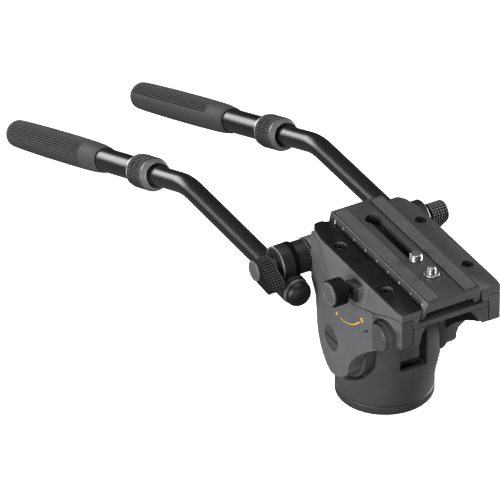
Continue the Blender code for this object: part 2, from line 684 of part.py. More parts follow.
for word, side in SIDES.items():
    cheek = side_prism(f"{word}_cheek", cheek_line, side, LOBE_X0 - CUT_OVER, CHEEK_X + CUT_OVER)
    cheek = common(cheek, plan_prism("plan", cheek_plan, side, 0.0, RAIL_TOP_Z))
    cheek = cut(cheek,
                turned("thin", bar(CHEEK_THIN_R, 0.0, CHEEK_THIN_X), along_x(side, 0.0, TILT_Z), ROUND_SIDES),
                turned("bore", bar(COIN_CAP_R + CLEAR, 0.0, CHEEK_X + CUT_OVER),
                       along_x(side, 0.0, TILT_Z)),
                turned("seat", bar(ROSETTE_R + ROSETTE_SEAT_GAP, LOBE_X1, CHEEK_X + CUT_OVER),
                       along_x(side, BRACKET_Y, BRACKET_Z)),
                turned("nose_pocket", bar(NOSE_POCKET_R, CHEEK_X - NOSE_POCKET_DEPTH, CHEEK_X + CUT_OVER),
                       along_x(side, NOSE_POCKET_Y, NOSE_POCKET_Z)))
    nose_root = CHEEK_X - NOSE_POCKET_DEPTH - CUT_OVER
    cheek = union(cheek, turned("nose_step", bar(NOSE_STEP_R, nose_root, CHEEK_X - NOSE_STEP_DEPTH),
                                along_x(side, NOSE_Y, NOSE_Z)),
                  turned("nose", bar(NOSE_R, nose_root, CHEEK_X, NOSE_EDGE), along_x(side, NOSE_Y, NOSE_Z)))
    finish(cheek, SIDE_GREY, "tilt")
    finish(turned(f"tilt_bush_{word}", ring(BUSH_R, TILT_SHAFT_R + CLEAR, BUSH_X0, TILT_SHAFT_X),
                  along_x(side, 0.0, TILT_Z)), BRONZE, "tilt")
    finish(turned(f"{word}_rosette",
                  bar(ROSETTE_R, ROSETTE_X0, ROSETTE_X1, ROSETTE_EDGE), along_x(side, BRACKET_Y, BRACKET_Z)),
           CASTING, "tilt")

coin_cap = turned("tilt_axis_cap", bar(COIN_CAP_R, TILT_SHAFT_X + CLEAR, COIN_CAP_X1, BUTTON_EDGE),
                  along_x(-1, 0.0, TILT_Z))
coin_slot = block("coin_slot", -COIN_SLOT_DEPTH, COIN_SLOT_DEPTH, -BUSH_R, BUSH_R, -COIN_SLOT_W / 2.0,
                  COIN_SLOT_W / 2.0)
coin_slot.matrix_world = (Matrix.Translation((-COIN_CAP_X1, 0.0, TILT_Z))
                          @ Matrix.Rotation(math.radians(COIN_SLOT_DEG), 4, "X"))
finish(cut(coin_cap, coin_slot), SCREW_BLACK, "tilt")

# Tilt drag knob on the right

finish(turned("tilt_drag_knob",
              [(0.0, TILT_KNOB_X1), (TILT_KNOB_R - BOSS_EDGE, TILT_KNOB_X1),
               (TILT_KNOB_R, TILT_KNOB_X1 - BOSS_EDGE),
               (TILT_KNOB_R, TILT_KNOB_X0 + BOSS_EDGE), (TILT_KNOB_R - BOSS_EDGE, TILT_KNOB_X0),
               (TILT_KNOB_STEM_R, TILT_KNOB_X0), (TILT_KNOB_STEM_R, TILT_SHAFT_X + CLEAR),
               (0.0, TILT_SHAFT_X + CLEAR)], along_x(1, 0.0, TILT_Z), ROUND_SIDES), KNOB_BLACK, "tilt_knob")

# Rails: one section, cut along the gap line and to the plan; the left one leaves room for the jaw

section = [(DOVETAIL_TOP_X, RAIL_TOP_Z), (DOVETAIL_LOW_X, DECK_Z1 + CLEAR), (CHEEK_IN_X, DECK_Z1 + CLEAR),
           (CHEEK_IN_X, RAIL_LOW_Z), (RAIL_LOW_X, RAIL_LOW_Z), (RAIL_TOP_X, RAIL_TOP_Z)]
under = ([(REAR_Y + CUT_OVER, GAP_REAR_Z + RUN_CLEAR)] + rail_edge
         + [(FRONT_Y - CUT_OVER, GAP_FRONT_Z + RUN_CLEAR), (FRONT_Y - CUT_OVER, RAIL_LOW_Z - CUT_OVER),
            (REAR_Y + CUT_OVER, RAIL_LOW_Z - CUT_OVER)])
rail_plan = [(DOVETAIL_TOP_X - CUT_OVER, FRONT_Y - CUT_OVER)] + plan + [
    (FACET_REAR_X + RAIL_END_OUT, REAR_Y - RAIL_END_L),
    (FACET_REAR_X - RAIL_END_MID_IN, REAR_Y - RAIL_END_MID_L),
    (FACET_REAR_X - RAIL_END_IN, REAR_Y), (RAIL_REAR_INNER_X + RAIL_INNER_CHAMFER, REAR_Y),
    (RAIL_REAR_INNER_X, REAR_Y - RAIL_INNER_CHAMFER), (DOVETAIL_TOP_X - CUT_OVER, REAR_Y - RAIL_END_IN)]


def rail_piece(name, side, y0, y1):
    """A stretch of the rail section between two y values."""
    piece = front_prism(name, section, side, y0, y1)
    piece = common(piece, plan_prism("plan", rail_plan, side, RAIL_LOW_Z - CUT_OVER, RAIL_TOP_Z + CUT_OVER))
    return cut(piece, side_prism("under", under, side, CHEEK_IN_X - CLEAR, RAIL_LOW_X + CUT_OVER))


def screw_holes(piece, side, places):
    """Counterbored holes for the rail screws at the given y values."""
    for y in places:
        at = Matrix.Translation((side * RAIL_SCREW_X, y, 0.0))
        seat = bar(COUNTERBORE_R, RAIL_SCREW_HEAD_Z0 - CLEAR, RAIL_TOP_Z + CUT_OVER)
        hole = bar(RAIL_SCREW_R + CLEAR, RAIL_SCREW_Z0 - CLEAR, RAIL_TOP_Z)
        piece = cut(piece, turned("counterbore", seat, at), turned("hole", hole, at, TUBE_SIDES))
    return piece


left, right = SIDES["left"], SIDES["right"]
rear_rail = rail_piece("left_rail_rear", left, JAW_Y1 + CLEAR, REAR_Y + CUT_OVER)
finish(screw_holes(rear_rail, left, RAIL_SCREW_Y[:1]), SIDE_GREY, "tilt")
front_rail = rail_piece("left_rail_front", left, FRONT_Y, JAW_Y0 - CLEAR)
finish(screw_holes(front_rail, left, RAIL_SCREW_Y[1:]), SIDE_GREY, "tilt")
whole_rail = rail_piece("right_rail", right, FRONT_Y, REAR_Y + CUT_OVER)
finish(screw_holes(whole_rail, right, RAIL_SCREW_Y), SIDE_GREY, "tilt")


def rail_screw(name, x, y):
    """A cap screw with a hexagon socket, in its counterbore."""
    at = Matrix.Translation((x, y, 0.0))
    z1 = RAIL_SCREW_HEAD_Z1
    outline = [(0.0, z1), (RAIL_SCREW_HEAD_R - BUTTON_EDGE, z1), (RAIL_SCREW_HEAD_R, z1 - BUTTON_EDGE),
               (RAIL_SCREW_HEAD_R, RAIL_SCREW_HEAD_Z0), (RAIL_SCREW_R, RAIL_SCREW_HEAD_Z0),
               (RAIL_SCREW_R, RAIL_SCREW_Z0), (0.0, RAIL_SCREW_Z0)]
    screw = turned(name, outline, at, TUBE_SIDES)
    socket = turned("socket", bar(HEX_R, z1 - HEX_DEPTH, z1 + CUT_OVER), at, HEX_SIDES)
    return cut(screw, socket)


for word, side in SIDES.items():
    for place, y in zip(("rear", "front"), RAIL_SCREW_Y):
        finish(rail_screw(f"rail_screw_{word}_{place}", side * RAIL_SCREW_X, y), SCREW_BLACK, "tilt")

# Clamp jaw with the boss that carries the lock knob and the safety button

jaw = rail_piece("clamp_jaw", left, JAW_Y0, JAW_Y1)
boss = side_block("boss", left, RAIL_TOP_X - CUT_OVER, BOSS_X1, BOSS_Y0, BOSS_Y1, BOSS_Z0, BOSS_Z1)
jaw = union(jaw, rounded(boss, BOSS_EDGE))
jaw = cut(jaw, side_block("pocket", left, BUTTON_X0 - CLEAR, BUTTON_X1 + CLEAR,
                          BUTTON_Y0 - CLEAR, BUTTON_Y1 + CLEAR,
                          BUTTON_Z0 - BUTTON_TRAVEL - CLEAR, RAIL_TOP_Z + CUT_OVER))
finish(jaw, SIDE_GREY, "clamp_jaw")
button = side_block("safety_button", left, BUTTON_X0, BUTTON_X1, BUTTON_Y0, BUTTON_Y1, BUTTON_Z0, BUTTON_Z1)
finish(rounded(button, BUTTON_EDGE), CAP_GREY, "safety_button")
finish(turned("plate_lock_knob",
              [(0.0, LOCK_X1), (LOCK_R - LOCK_EDGE, LOCK_X1), (LOCK_R, LOCK_X1 - LOCK_EDGE),
               (LOCK_R, LOCK_X0), (LOCK_STEM_R, LOCK_X0), (LOCK_STEM_R, BOSS_X1 + CLEAR),
               (0.0, BOSS_X1 + CLEAR)],
              along_x(left, LOCK_Y, LOCK_Z)), KNOB_BLACK, "plate_lock")
finish(turned("plate_lock_cap", bar(LOCK_CAP_R, LOCK_X1 + CLEAR, LOCK_CAP_X1, CAP_EDGE),
              along_x(left, LOCK_Y, LOCK_Z)), CAP_GREY, "plate_lock")

# Sliding plate with its slot and rubber strips

plate_section = [(-PLATE_TOP_X, PLATE_Z1), (PLATE_TOP_X, PLATE_Z1), (PLATE_LOW_X, PLATE_Z0),
                 (-PLATE_LOW_X, PLATE_Z0)]
plate = front_prism("sliding_plate", plate_section, 1, PLATE_Y0, PLATE_Y1)
channel = [(-CHANNEL_TOP_X, CHANNEL_Z), (CHANNEL_TOP_X, CHANNEL_Z), (CHANNEL_LOW_X, PLATE_Z0 - CUT_OVER),
           (-CHANNEL_LOW_X, PLATE_Z0 - CUT_OVER)]
rake = [(PLATE_Y0 - CUT_OVER, PLATE_Z0 - CUT_OVER), (PLATE_Y0 - CUT_OVER, PLATE_Z1 - PLATE_LIP),
        (PLATE_Y0, PLATE_Z1 - PLATE_LIP), (PLATE_Y0 + PLATE_RAKE, PLATE_Z0 - CUT_OVER)]
slot = arc((0.0, LARGE_SCREW_Y), SLOT_R, 180.0, 360.0)
slot += arc((0.0, KEYHOLE_Y), KEYHOLE_R, -math.degrees(math.acos(SLOT_R / KEYHOLE_R)),
            180.0 + math.degrees(math.acos(SLOT_R / KEYHOLE_R)), LONG_ARC_STEPS)
undercut = arc((0.0, SMALL_SCREW_Y), UNDERCUT_R, 180.0, 360.0)
undercut += arc((0.0, KEYHOLE_Y), UNDERCUT_R, 0.0, 180.0)
plate = cut(plate, prism("slot", slot, UP, PLATE_Z0 - CUT_OVER, PLATE_Z1 + CUT_OVER),
            prism("undercut", undercut, UP, PLATE_Z0 - CUT_OVER, UNDERCUT_Z),
            turned("neck_hole", bar(SLOT_R, PLATE_Z0 - CUT_OVER, PLATE_Z1 + CUT_OVER),
                   Matrix.Translation((0.0, SMALL_SCREW_Y, 0.0))),
            front_prism("channel", channel, 1, PLATE_Y0 - CUT_OVER, PLATE_Y1 + CUT_OVER),
            side_prism("rake", rake, 1, -DECK_HALF_W, DECK_HALF_W))


def strip_outline(side, grow):
    """Plan of a rubber strip with rounded corners, grown by a clearance."""
    x0, x1 = STRIP_X0 - grow, STRIP_X1 + grow
    y0, y1 = PLATE_Y0 + STRIP_END - grow, PLATE_Y1 - STRIP_END + grow
    c = STRIP_CORNER
    points = []
    for turn, (x, y) in enumerate([(x1 - c, y1 - c), (x0 + c, y1 - c), (x0 + c, y0 + c), (x1 - c, y0 + c)]):
        points += arc((x, y), c, 90.0 * turn, 90.0 * turn + 90.0, CORNER_STEPS)
    return [(side * x, y) for x, y in points]


for word, side in SIDES.items():
    plate = cut(plate, prism("groove", strip_outline(side, CLEAR), UP, PLATE_Z1 - STRIP_DEPTH,
                             PLATE_Z1 + CUT_OVER))
    finish(prism(f"rubber_strip_{word}", strip_outline(side, 0.0), UP, PLATE_Z1 - STRIP_DEPTH + CLEAR,
                 PLATE_Z1 + STRIP_RISE), RUBBER, "plate")
finish(plate, PLATE_GREY, "plate")


def camera_screw(name, y, radius, top_z, collar_r, collar_z):
    """A captive camera screw: thread, collar on the plate, neck in the slot and head in the undercut."""
    neck = SLOT_R - SCREW_NECK_GAP
    profile = [(0.0, top_z), (radius - SCREW_CHAMFER, top_z), (radius, top_z - SCREW_CHAMFER)]
    if collar_r:
        seat = PLATE_Z1 + CLEAR
        profile += [(radius, collar_z), (collar_r, collar_z), (collar_r, seat), (neck, seat)]
    else:
        seat = PLATE_Z1 + CLEAR
        profile += [(radius, seat), (neck, seat)]
    profile += [(neck, UNDERCUT_Z - CLEAR), (SCREW_HEAD_R, UNDERCUT_Z - CLEAR), (SCREW_HEAD_R, SCREW_HEAD_Z0),
                (0.0, SCREW_HEAD_Z0)]
    return turned(name, profile, Matrix.Translation((0.0, y, 0.0)))


finish(camera_screw("camera_screw_3_8", LARGE_SCREW_Y, LARGE_SCREW_R, LARGE_SCREW_TOP_Z, 0.0, 0.0), NICKEL,
       "screw_3_8")
finish(camera_screw("camera_screw_1_4", SMALL_SCREW_Y, SMALL_SCREW_R, SMALL_SCREW_TOP_Z, SMALL_SCREW_COLLAR_R,
                    SMALL_SCREW_COLLAR_Z), NICKEL, "screw_1_4")

# Brackets, wing knobs and handles

slope = math.radians(SLOPE_DEG)
bend_l = BEND_R * math.tan(slope / 2.0)


def handle_path(side, start_y, end_s):
    """Middle line of the bent tube: level, then round the bend, then down the slope."""
    centre = (BEND_Y - bend_l, TUBE_Z - BEND_R)
    points = [(start_y, TUBE_Z)] + arc(centre, BEND_R, 90.0, 90.0 - SLOPE_DEG, ARC_STEPS)
    points += [(BEND_Y + end_s * math.cos(slope), TUBE_Z - end_s * math.sin(slope))]
    return [(side * TUBE_X, y, z) for y, z in points]


def slope_frame(side):
    """Frame at the bend whose Z runs down the sloping stretch of a handle."""
    return (Matrix.Translation((side * TUBE_X, BEND_Y, TUBE_Z))
            @ Matrix.Rotation(-math.pi / 2.0 - slope, 4, "X"))


for word, side in SIDES.items():
    across = along_x(side, BRACKET_Y, BRACKET_Z)
    lengthwise = Matrix.Translation((side * TUBE_X, 0.0, TUBE_Z)) @ Matrix.Rotation(-math.pi / 2.0, 4, "X")
    down = slope_frame(side)

    bracket = turned(f"{word}_bracket",
                     [(0.0, HUB_X1), (HUB_R - ROSETTE_EDGE, HUB_X1), (HUB_R, HUB_X1 - ROSETTE_EDGE),
                      (HUB_R, HUB_X0), (HUB_NECK_R, HUB_X0), (HUB_NECK_R, HUB_NECK_X0), (0.0, HUB_NECK_X0)],
                     across)
    clamp = common(turned("clamp", bar(CLAMP_R, CLAMP_Y0, CLAMP_Y1, ROSETTE_EDGE), lengthwise),
                   side_block("trim", side, HUB_NECK_X0, WING_X0 - CLEAR, 0.0, BEND_Y, 0.0, PLATE_Z1))
    bracket = union(bracket, clamp)
    bore = bar(TUBE_R + CLEAR, CLAMP_Y0 - CUT_OVER, CLAMP_Y1 + CUT_OVER)
    bracket = cut(bracket, turned("bore", bore, lengthwise, TUBE_SIDES))
    finish(bracket, CASTING, f"bracket_{word}")
    dome_foot = -END_CAP_Y0 - END_CAP_DOME
    dome = [(END_CAP_R * x, dome_foot + END_CAP_DOME * y)
            for x, y in arc((0.0, 0.0), 1.0, 90.0, 0.0, CORNER_STEPS)[1:]]
    cap = turned(f"{word}_tube_end_cap",
                 [(0.0, -END_CAP_Y0)] + dome + [(END_CAP_R, -CLAMP_Y0 + CLEAR), (0.0, -CLAMP_Y0 + CLEAR)],
                 Matrix.Translation((side * TUBE_X, 0.0, TUBE_Z)) @ Matrix.Rotation(math.pi / 2.0, 4, "X"))
    finish(cap, KNOB_BLACK, f"bracket_{word}")

    wing = turned(f"{word}_wing_knob",
                  [(0.0, WING_X1), (WING_HUB_R - BUTTON_EDGE, WING_X1), (WING_HUB_R, WING_X1 - BUTTON_EDGE),
                   (WING_HUB_R, WING_X0), (WING_STEM_R, WING_X0), (WING_STEM_R, HUB_X1 + CLEAR),
                   (0.0, HUB_X1 + CLEAR)], across)
    lean = WING_DEG[word]
    tip = (BRACKET_Y + WING_REACH * math.cos(math.radians(lean)),
           BRACKET_Z + WING_REACH * math.sin(math.radians(lean)))
    lobe = arc(tip, WING_TIP_R, lean - 90.0, lean + 90.0)
    lobe += arc((BRACKET_Y, BRACKET_Z), WING_WEB_R, lean + 90.0, lean + WING_WEB_DEG, 1)
    lobe += arc((BRACKET_Y, BRACKET_Z), WING_WEB_R, lean - WING_WEB_DEG, lean - 90.0, 1)
    wing = union(wing, side_prism("lobe", lobe, side, WING_LOBE_X0, WING_LOBE_X1))
    finish(wing, KNOB_BLACK, f"wing_{word}")
    finish(turned(f"{word}_wing_cap", bar(WING_CAP_R, WING_X1 + CLEAR, WING_CAP_X1), across), CAP_GREY,
           f"wing_{word}")

    tube = swept(f"{word}_inner_tube", handle_path(side, TUBE_Y0, INNER_TUBE_S), TUBE_R)
    bore_path = handle_path(side, TUBE_Y0 - CUT_OVER, INNER_TUBE_S + CUT_OVER)
    tube = cut(tube, swept("tube_bore", bore_path, TUBE_BORE_R))
    finish(tube, TUBE_BLACK, f"bracket_{word}")

    sleeve_r = TUBE_R + CLEAR
    front_ring = ring(FRONT_RING_R, sleeve_r, FRONT_RING_S0, COLLAR_S0 - CLEAR, BUTTON_EDGE)
    finish(turned(f"{word}_front_ring", front_ring, down), CAP_GREY, f"extension_{word}")
    seat_r = OUTER_TUBE_R + CLEAR
    finish(turned(f"{word}_lock_collar",
                  [(sleeve_r, COLLAR_S0), (seat_r, COLLAR_S0 + CUT_OVER), (seat_r, COLLAR_S1),
                   (COLLAR_R - COLLAR_EDGE, COLLAR_S1), (COLLAR_R, COLLAR_S1 - COLLAR_EDGE),
                   (COLLAR_R, COLLAR_S0 + COLLAR_EDGE), (COLLAR_R - COLLAR_EDGE, COLLAR_S0)][::-1], down),
           KNOB_BLACK, f"collar_{word}")
    finish(turned(f"{word}_silver_ring", ring(SILVER_RING_R, seat_r, COLLAR_S1 + CLEAR, SILVER_RING_S1), down),
           STEEL, f"extension_{word}")
    finish(turned(f"{word}_outer_tube", ring(OUTER_TUBE_R, sleeve_r, OUTER_TUBE_S0, OUTER_TUBE_S1), down),
           TUBE_BLACK, f"extension_{word}")
    bore_end = OUTER_TUBE_S1 + CLEAR
    finish(turned(f"{word}_grip",
                  [(0.0, GRIP_S1), (GRIP_END_R, GRIP_S1), (GRIP_R - BOSS_EDGE, GRIP_S1 - BOSS_EDGE),
                   (GRIP_R, GRIP_S1 - GRIP_END_L), (GRIP_R, GRIP_S0 + GRIP_NECK_L),
                   (GRIP_R - BOSS_EDGE, GRIP_S0 + GRIP_NECK_RISE), (GRIP_NECK_R, GRIP_S0), (seat_r, GRIP_S0),
                   (seat_r, bore_end), (0.0, bore_end)], down), GRIP_RUBBER, f"extension_{word}")

# Joint axes: an empty for each moving body, with its pieces as children

handle_dir = {word: slope_frame(side) for word, side in SIDES.items()}
AXES = {
    "pan": UP,
    "pan_lock": back,
    "tilt": Matrix.Translation((0.0, 0.0, TILT_Z)),
    "tilt_knob": along_x(1, 0.0, TILT_Z),
    "clamp_jaw": Matrix.Translation((left * RAIL_TOP_X, LOCK_Y, LOCK_Z)),
    "plate_lock": along_x(left, LOCK_Y, LOCK_Z),
    "safety_button": Matrix.Translation((left * (BUTTON_X0 + BUTTON_X1) / 2.0, (BUTTON_Y0 + BUTTON_Y1) / 2.0,
                                         BUTTON_Z0)),
    "plate": Matrix.Translation((0.0, 0.0, PLATE_Z0)),
    "screw_3_8": Matrix.Translation((0.0, LARGE_SCREW_Y, PLATE_Z1)),
    "screw_1_4": Matrix.Translation((0.0, SMALL_SCREW_Y, PLATE_Z1)),
}
for word, side in SIDES.items():
    AXES[f"bracket_{word}"] = along_x(side, BRACKET_Y, BRACKET_Z)
    AXES[f"wing_{word}"] = along_x(side, BRACKET_Y, BRACKET_Z)
    AXES[f"extension_{word}"] = handle_dir[word]
    AXES[f"collar_{word}"] = handle_dir[word]

for body, frame in AXES.items():
    axis = bpy.data.objects.new(f"axis_{body}", None)
    GUIDES.objects.link(axis)
    axis.matrix_world = frame
    bpy.context.view_layer.update()
    for piece in PIECES[body]:
        piece.parent = axis
        piece.matrix_parent_inverse = axis.matrix_world.inverted()
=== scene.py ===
"""Looks of the fluid video head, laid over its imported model.

Lengths are millimetres in the head's own frame (+Z up, the camera plate looks along -Y, the plate lock
is on -X) and skin() turns them into metres.  Turned, ribbed and knurled pieces are surfaces worked out
with numpy; castings keep their CAD node, with rounded edges and a cast or anodised finish.
"""

import math

import bmesh
import bpy
import numpy as np
from mathutils import Matrix, Vector


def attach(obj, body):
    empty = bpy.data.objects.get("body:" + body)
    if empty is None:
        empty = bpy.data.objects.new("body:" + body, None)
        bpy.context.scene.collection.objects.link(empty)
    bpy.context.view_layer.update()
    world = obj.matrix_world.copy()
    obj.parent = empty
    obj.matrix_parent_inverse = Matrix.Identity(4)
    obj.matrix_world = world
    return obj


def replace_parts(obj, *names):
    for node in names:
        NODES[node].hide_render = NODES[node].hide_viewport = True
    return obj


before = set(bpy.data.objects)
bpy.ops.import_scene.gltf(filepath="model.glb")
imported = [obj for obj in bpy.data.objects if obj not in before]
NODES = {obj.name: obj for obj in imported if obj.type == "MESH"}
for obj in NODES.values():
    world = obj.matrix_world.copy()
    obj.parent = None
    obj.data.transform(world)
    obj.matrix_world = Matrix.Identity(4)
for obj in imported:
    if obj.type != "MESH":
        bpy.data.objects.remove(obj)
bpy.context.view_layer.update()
MM = 0.001
SIDES = {"left": -1.0, "right": 1.0}
X, Y, Z = np.eye(3)

# Places and sizes shared with the solids
TILT_Z, PAN_LOCK_Z = 60.5, 29.0
CHEEK_FACE, FRONT_END = 46.5, -94.0
RAIL_TOP, PLATE_TOP = 133.7, 139.8
PLATE_HALF, FLANK_OUT, FLANK_DEPTH = 22.0, 3.3, 16.8
TUBE_X, TUBE_Z, TUBE_R, TUBE_BORE_R = 56.5, 85.5, 8.0, 6.6
TUBE_START, TUBE_END, BEND_Y, BEND_R = 34.6, 242.0, 199.0, 60.0
BRACKET_Y, BRACKET_Z = 52.5, 100.5
LOCK_Y, LOCK_Z = -34.5, 126.6
SLOPE = math.radians(21.6)
CREASE_DEG = 38.0
DOWN_SLOPE = np.array([0.0, math.cos(SLOPE), -math.sin(SLOPE)])


# Outlines and surfaces

def soft_line(corners, steps=4):
    """Points of an outline whose corners are rounded.

    Each corner is (along, radius, fillet).  A corner with a fillet becomes the parabola from the point one
    fillet before it to the point one fillet after it: (1-t)^2 A + 2 t (1-t) C + t^2 B.
    """
    points = np.array([c[:2] for c in corners], float)
    line = []
    for i, corner in enumerate(corners):
        fillet = corner[2] if len(corner) > 2 else 0.0
        if not fillet or i in (0, len(corners) - 1):
            line.append(points[i][None])
            continue
        before, after = points[i - 1] - points[i], points[i + 1] - points[i]
        reach = min(fillet, np.linalg.norm(before) * 0.49, np.linalg.norm(after) * 0.49)
        a = points[i] + before / np.linalg.norm(before) * reach
        b = points[i] + after / np.linalg.norm(after) * reach
        t = np.linspace(0.0, 1.0, steps + 1)[:, None]
        line.append((1 - t) ** 2 * a + 2 * t * (1 - t) * points[i] + t ** 2 * b)
    return np.concatenate(line)


def denser(line, pitch):
    """The same outline with points no further apart than the pitch along it."""
    out = [line[:1]]
    for a, b in zip(line[:-1], line[1:]):
        n = max(1, math.ceil(np.linalg.norm(b - a) / pitch))
        out.append(a + (b - a) * (np.arange(1, n + 1) / n)[:, None])
    return np.concatenate(out)


def skin(name, grid, body, finish, closed_rows=False, tips=None):
    """A mesh through a grid of points (row, column, xyz) in millimetres.

    Columns run round, and the last row joins the first when closed_rows is set.  Rows that shrink to a
    point make poles; doubled points are merged, so seams and poles are closed.  tips, one value a point,
    is 1 on the crests of ribs and studs and 0 in the grooves between them.
    """
    rows, cols = grid.shape[:2]
    index = np.arange(rows * cols).reshape(rows, cols)
    index = np.concatenate([index, index[:, :1]], axis=1)
    if closed_rows:
        index = np.concatenate([index, index[:1]], axis=0)
    quads = np.stack([index[:-1, :-1], index[:-1, 1:], index[1:, 1:], index[1:, :-1]], axis=-1).reshape(-1, 4)
    mesh = bpy.data.meshes.new(name)
    mesh.from_pydata((grid.reshape(-1, 3) * MM).tolist(), [], quads.tolist())
    if tips is not None:
        tip = mesh.attributes.new("tip", "FLOAT", "POINT")
        tip.data.foreach_set("value", np.ravel(tips).astype(np.float32))
    return piece(name, mesh, body, finish)


def piece(name, mesh, body, finish):
    """Closes and shades a mesh, gives it its material and lets it ride on its body."""
    work = bmesh.new()
    work.from_mesh(mesh)
    bmesh.ops.remove_doubles(work, verts=work.verts, dist=1e-6)
    bmesh.ops.dissolve_degenerate(work, dist=1e-7, edges=work.edges)
    bmesh.ops.recalc_face_normals(work, faces=work.faces)
    work.to_mesh(mesh)
    work.free()
    mesh.materials.append(finish)
    mesh.shade_smooth()
    mesh.set_sharp_from_angle(angle=math.radians(CREASE_DEG))
    obj = bpy.data.objects.new(name, mesh)
    bpy.context.scene.collection.objects.link(obj)
    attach(obj, body)
    return obj


def round_grid(line, origin, axis, across, sides=96, relief=None):
    """Grid of a turned surface.

    A point is origin + s*axis + r*(cos(a)*across + sin(a)*third), with (s, r) from the line, a the angle
    round the axis, third = axis x across, and r plus relief(s, a) where the surface is ribbed or knurled.
    """
    axis, across = np.asarray(axis, float), np.asarray(across, float)
    third = np.cross(axis, across)
    angle = np.linspace(0.0, 2.0 * np.pi, sides, endpoint=False)[None, :]
    s, r = line[:, :1] + 0.0 * angle, line[:, 1:2] + 0.0 * angle
    if relief is not None:
        r = np.where(r > 0.0, np.maximum(r + relief(s, angle + 0.0 * s), 0.0), 0.0)
    return (np.asarray(origin, float) + s[..., None] * axis
            + r[..., None] * (np.cos(angle)[..., None] * across + np.sin(angle)[..., None] * third))


def turned(name, corners, origin, axis, across, body, finish, slot, sides=96, pitch=None, relief=None,
           ring=False, depth=0.0):
    """A turned piece from its outline; a ring's outline closes on itself.

    depth is how deep the relief cuts; where it is given, crests and grooves are told apart for the finish.
    """
    line = soft_line(corners)
    if ring:
        line = np.concatenate([line, line[:1]])
    if pitch:
        line = denser(line, pitch)
    if ring:
        line = line[:-1]
    grid = round_grid(line, origin, axis, across, sides, relief)
    tips = None
    if depth:
        angle = np.linspace(0.0, 2.0 * np.pi, sides, endpoint=False)[None, :]
        tips = np.clip(1.0 + relief(line[:, :1] + 0.0 * angle, angle + 0.0 * line[:, :1]) / depth, 0.0, 1.0)
    return skin(name, grid, body, finish, ring, tips)


def band(s, low, high, soft):
    """1 between low and high, falling to 0 over the soft length at each end, by smoothstep."""
    t = np.clip(np.minimum(s - low, high - s) / soft, 0.0, 1.0)
    return t * t * (3.0 - 2.0 * t)


def ribs(angle, count, sharp=1.0):
    """Rounded ridges round an axis: |cos(count * angle / 2)| raised to a power, from 0 to 1."""
    return np.abs(np.cos(count * angle / 2.0)) ** sharp


def side_place(side):
    """Places (u, v, w) as (y, z) and the distance w from the middle plane on that side."""
    return lambda u, v, w: np.stack([side * w, u, v], axis=-1)


# Shader node groups: effects that several finishes share

def add(tree, kind, settings=None, **inputs):
    """A node with its settings and unlinked inputs."""
    node = tree.nodes.new(kind)
    for key, value in (settings or {}).items():
        setattr(node, key, value)
    for key, value in inputs.items():
        name = key.replace("_", " ")
        socket = node.inputs[int(key[1:])] if key[0] == "i" and key[1:].isdigit() else node.inputs[name]
        socket.default_value = value
    return node


def group(name, inputs, outputs):
    """An empty node group with its sockets."""
    tree = bpy.data.node_groups.new(name, "ShaderNodeTree")
    for label, kind, value in inputs:
        socket = tree.interface.new_socket(name=label, in_out="INPUT", socket_type=kind)
        if value is not None:
            socket.default_value = value
    for label, kind in outputs:
        tree.interface.new_socket(name=label, in_out="OUTPUT", socket_type=kind)
    return tree, tree.nodes.new("NodeGroupInput"), tree.nodes.new("NodeGroupOutput")


FLOAT, COLOR, VECTOR = "NodeSocketFloat", "NodeSocketColor", "NodeSocketVector"
CLOUD_SHARE, BUMP_DEPTH = 0.03, 0.00002


def grain_group():
    """Fine grain of powder coat, cast metal or moulded rubber.

    Two noises, a fine one and soft clouds about thirty times larger, add up to one value about nought.  It
    lightens and darkens the base colour and shifts the roughness; the height is the fine noise alone.
    """
    tree, a, z = group("surface_grain", [
        ("Vector", VECTOR, None), ("Base", COLOR, (0.05, 0.05, 0.05, 1.0)), ("Scale", FLOAT, 1800.0),
        ("Contrast", FLOAT, 0.15), ("Roughness", FLOAT, 0.5), ("Roughness Spread", FLOAT, 0.08)],
        [("Color", COLOR), ("Roughness", FLOAT), ("Height", FLOAT)])
    link = tree.links.new
    fine = add(tree, "ShaderNodeTexNoise", Detail=3.0, Roughness=0.6)
    coarse = add(tree, "ShaderNodeMath", {"operation": "MULTIPLY"}, i1=CLOUD_SHARE)
    cloud = add(tree, "ShaderNodeTexNoise", Detail=2.0, Roughness=0.5)
    link(a.outputs["Vector"], fine.inputs["Vector"])
    link(a.outputs["Scale"], fine.inputs["Scale"])
    link(a.outputs["Vector"], cloud.inputs["Vector"])
    link(a.outputs["Scale"], coarse.inputs[0])
    link(coarse.outputs[0], cloud.inputs["Scale"])
    both = add(tree, "ShaderNodeMath", {"operation": "ADD"})
    link(fine.outputs["Fac"], both.inputs[0])
    link(cloud.outputs["Fac"], both.inputs[1])
    shift = add(tree, "ShaderNodeMath", {"operation": "SUBTRACT"}, i1=1.0)
    link(both.outputs[0], shift.inputs[0])
    tone = add(tree, "ShaderNodeMath", {"operation": "MULTIPLY_ADD"}, i2=1.0)
    link(shift.outputs[0], tone.inputs[0])
    link(a.outputs["Contrast"], tone.inputs[1])
    scaled = add(tree, "ShaderNodeVectorMath", {"operation": "SCALE"})
    link(a.outputs["Base"], scaled.inputs[0])
    link(tone.outputs[0], scaled.inputs["Scale"])
    link(scaled.outputs[0], z.inputs["Color"])
    spread = add(tree, "ShaderNodeMath", {"operation": "MULTIPLY_ADD"})
    link(shift.outputs[0], spread.inputs[0])
    link(a.outputs["Roughness Spread"], spread.inputs[1])
    link(a.outputs["Roughness"], spread.inputs[2])
    link(spread.outputs[0], z.inputs["Roughness"])
    link(fine.outputs["Fac"], z.inputs["Height"])
    return tree


GRAIN = grain_group()


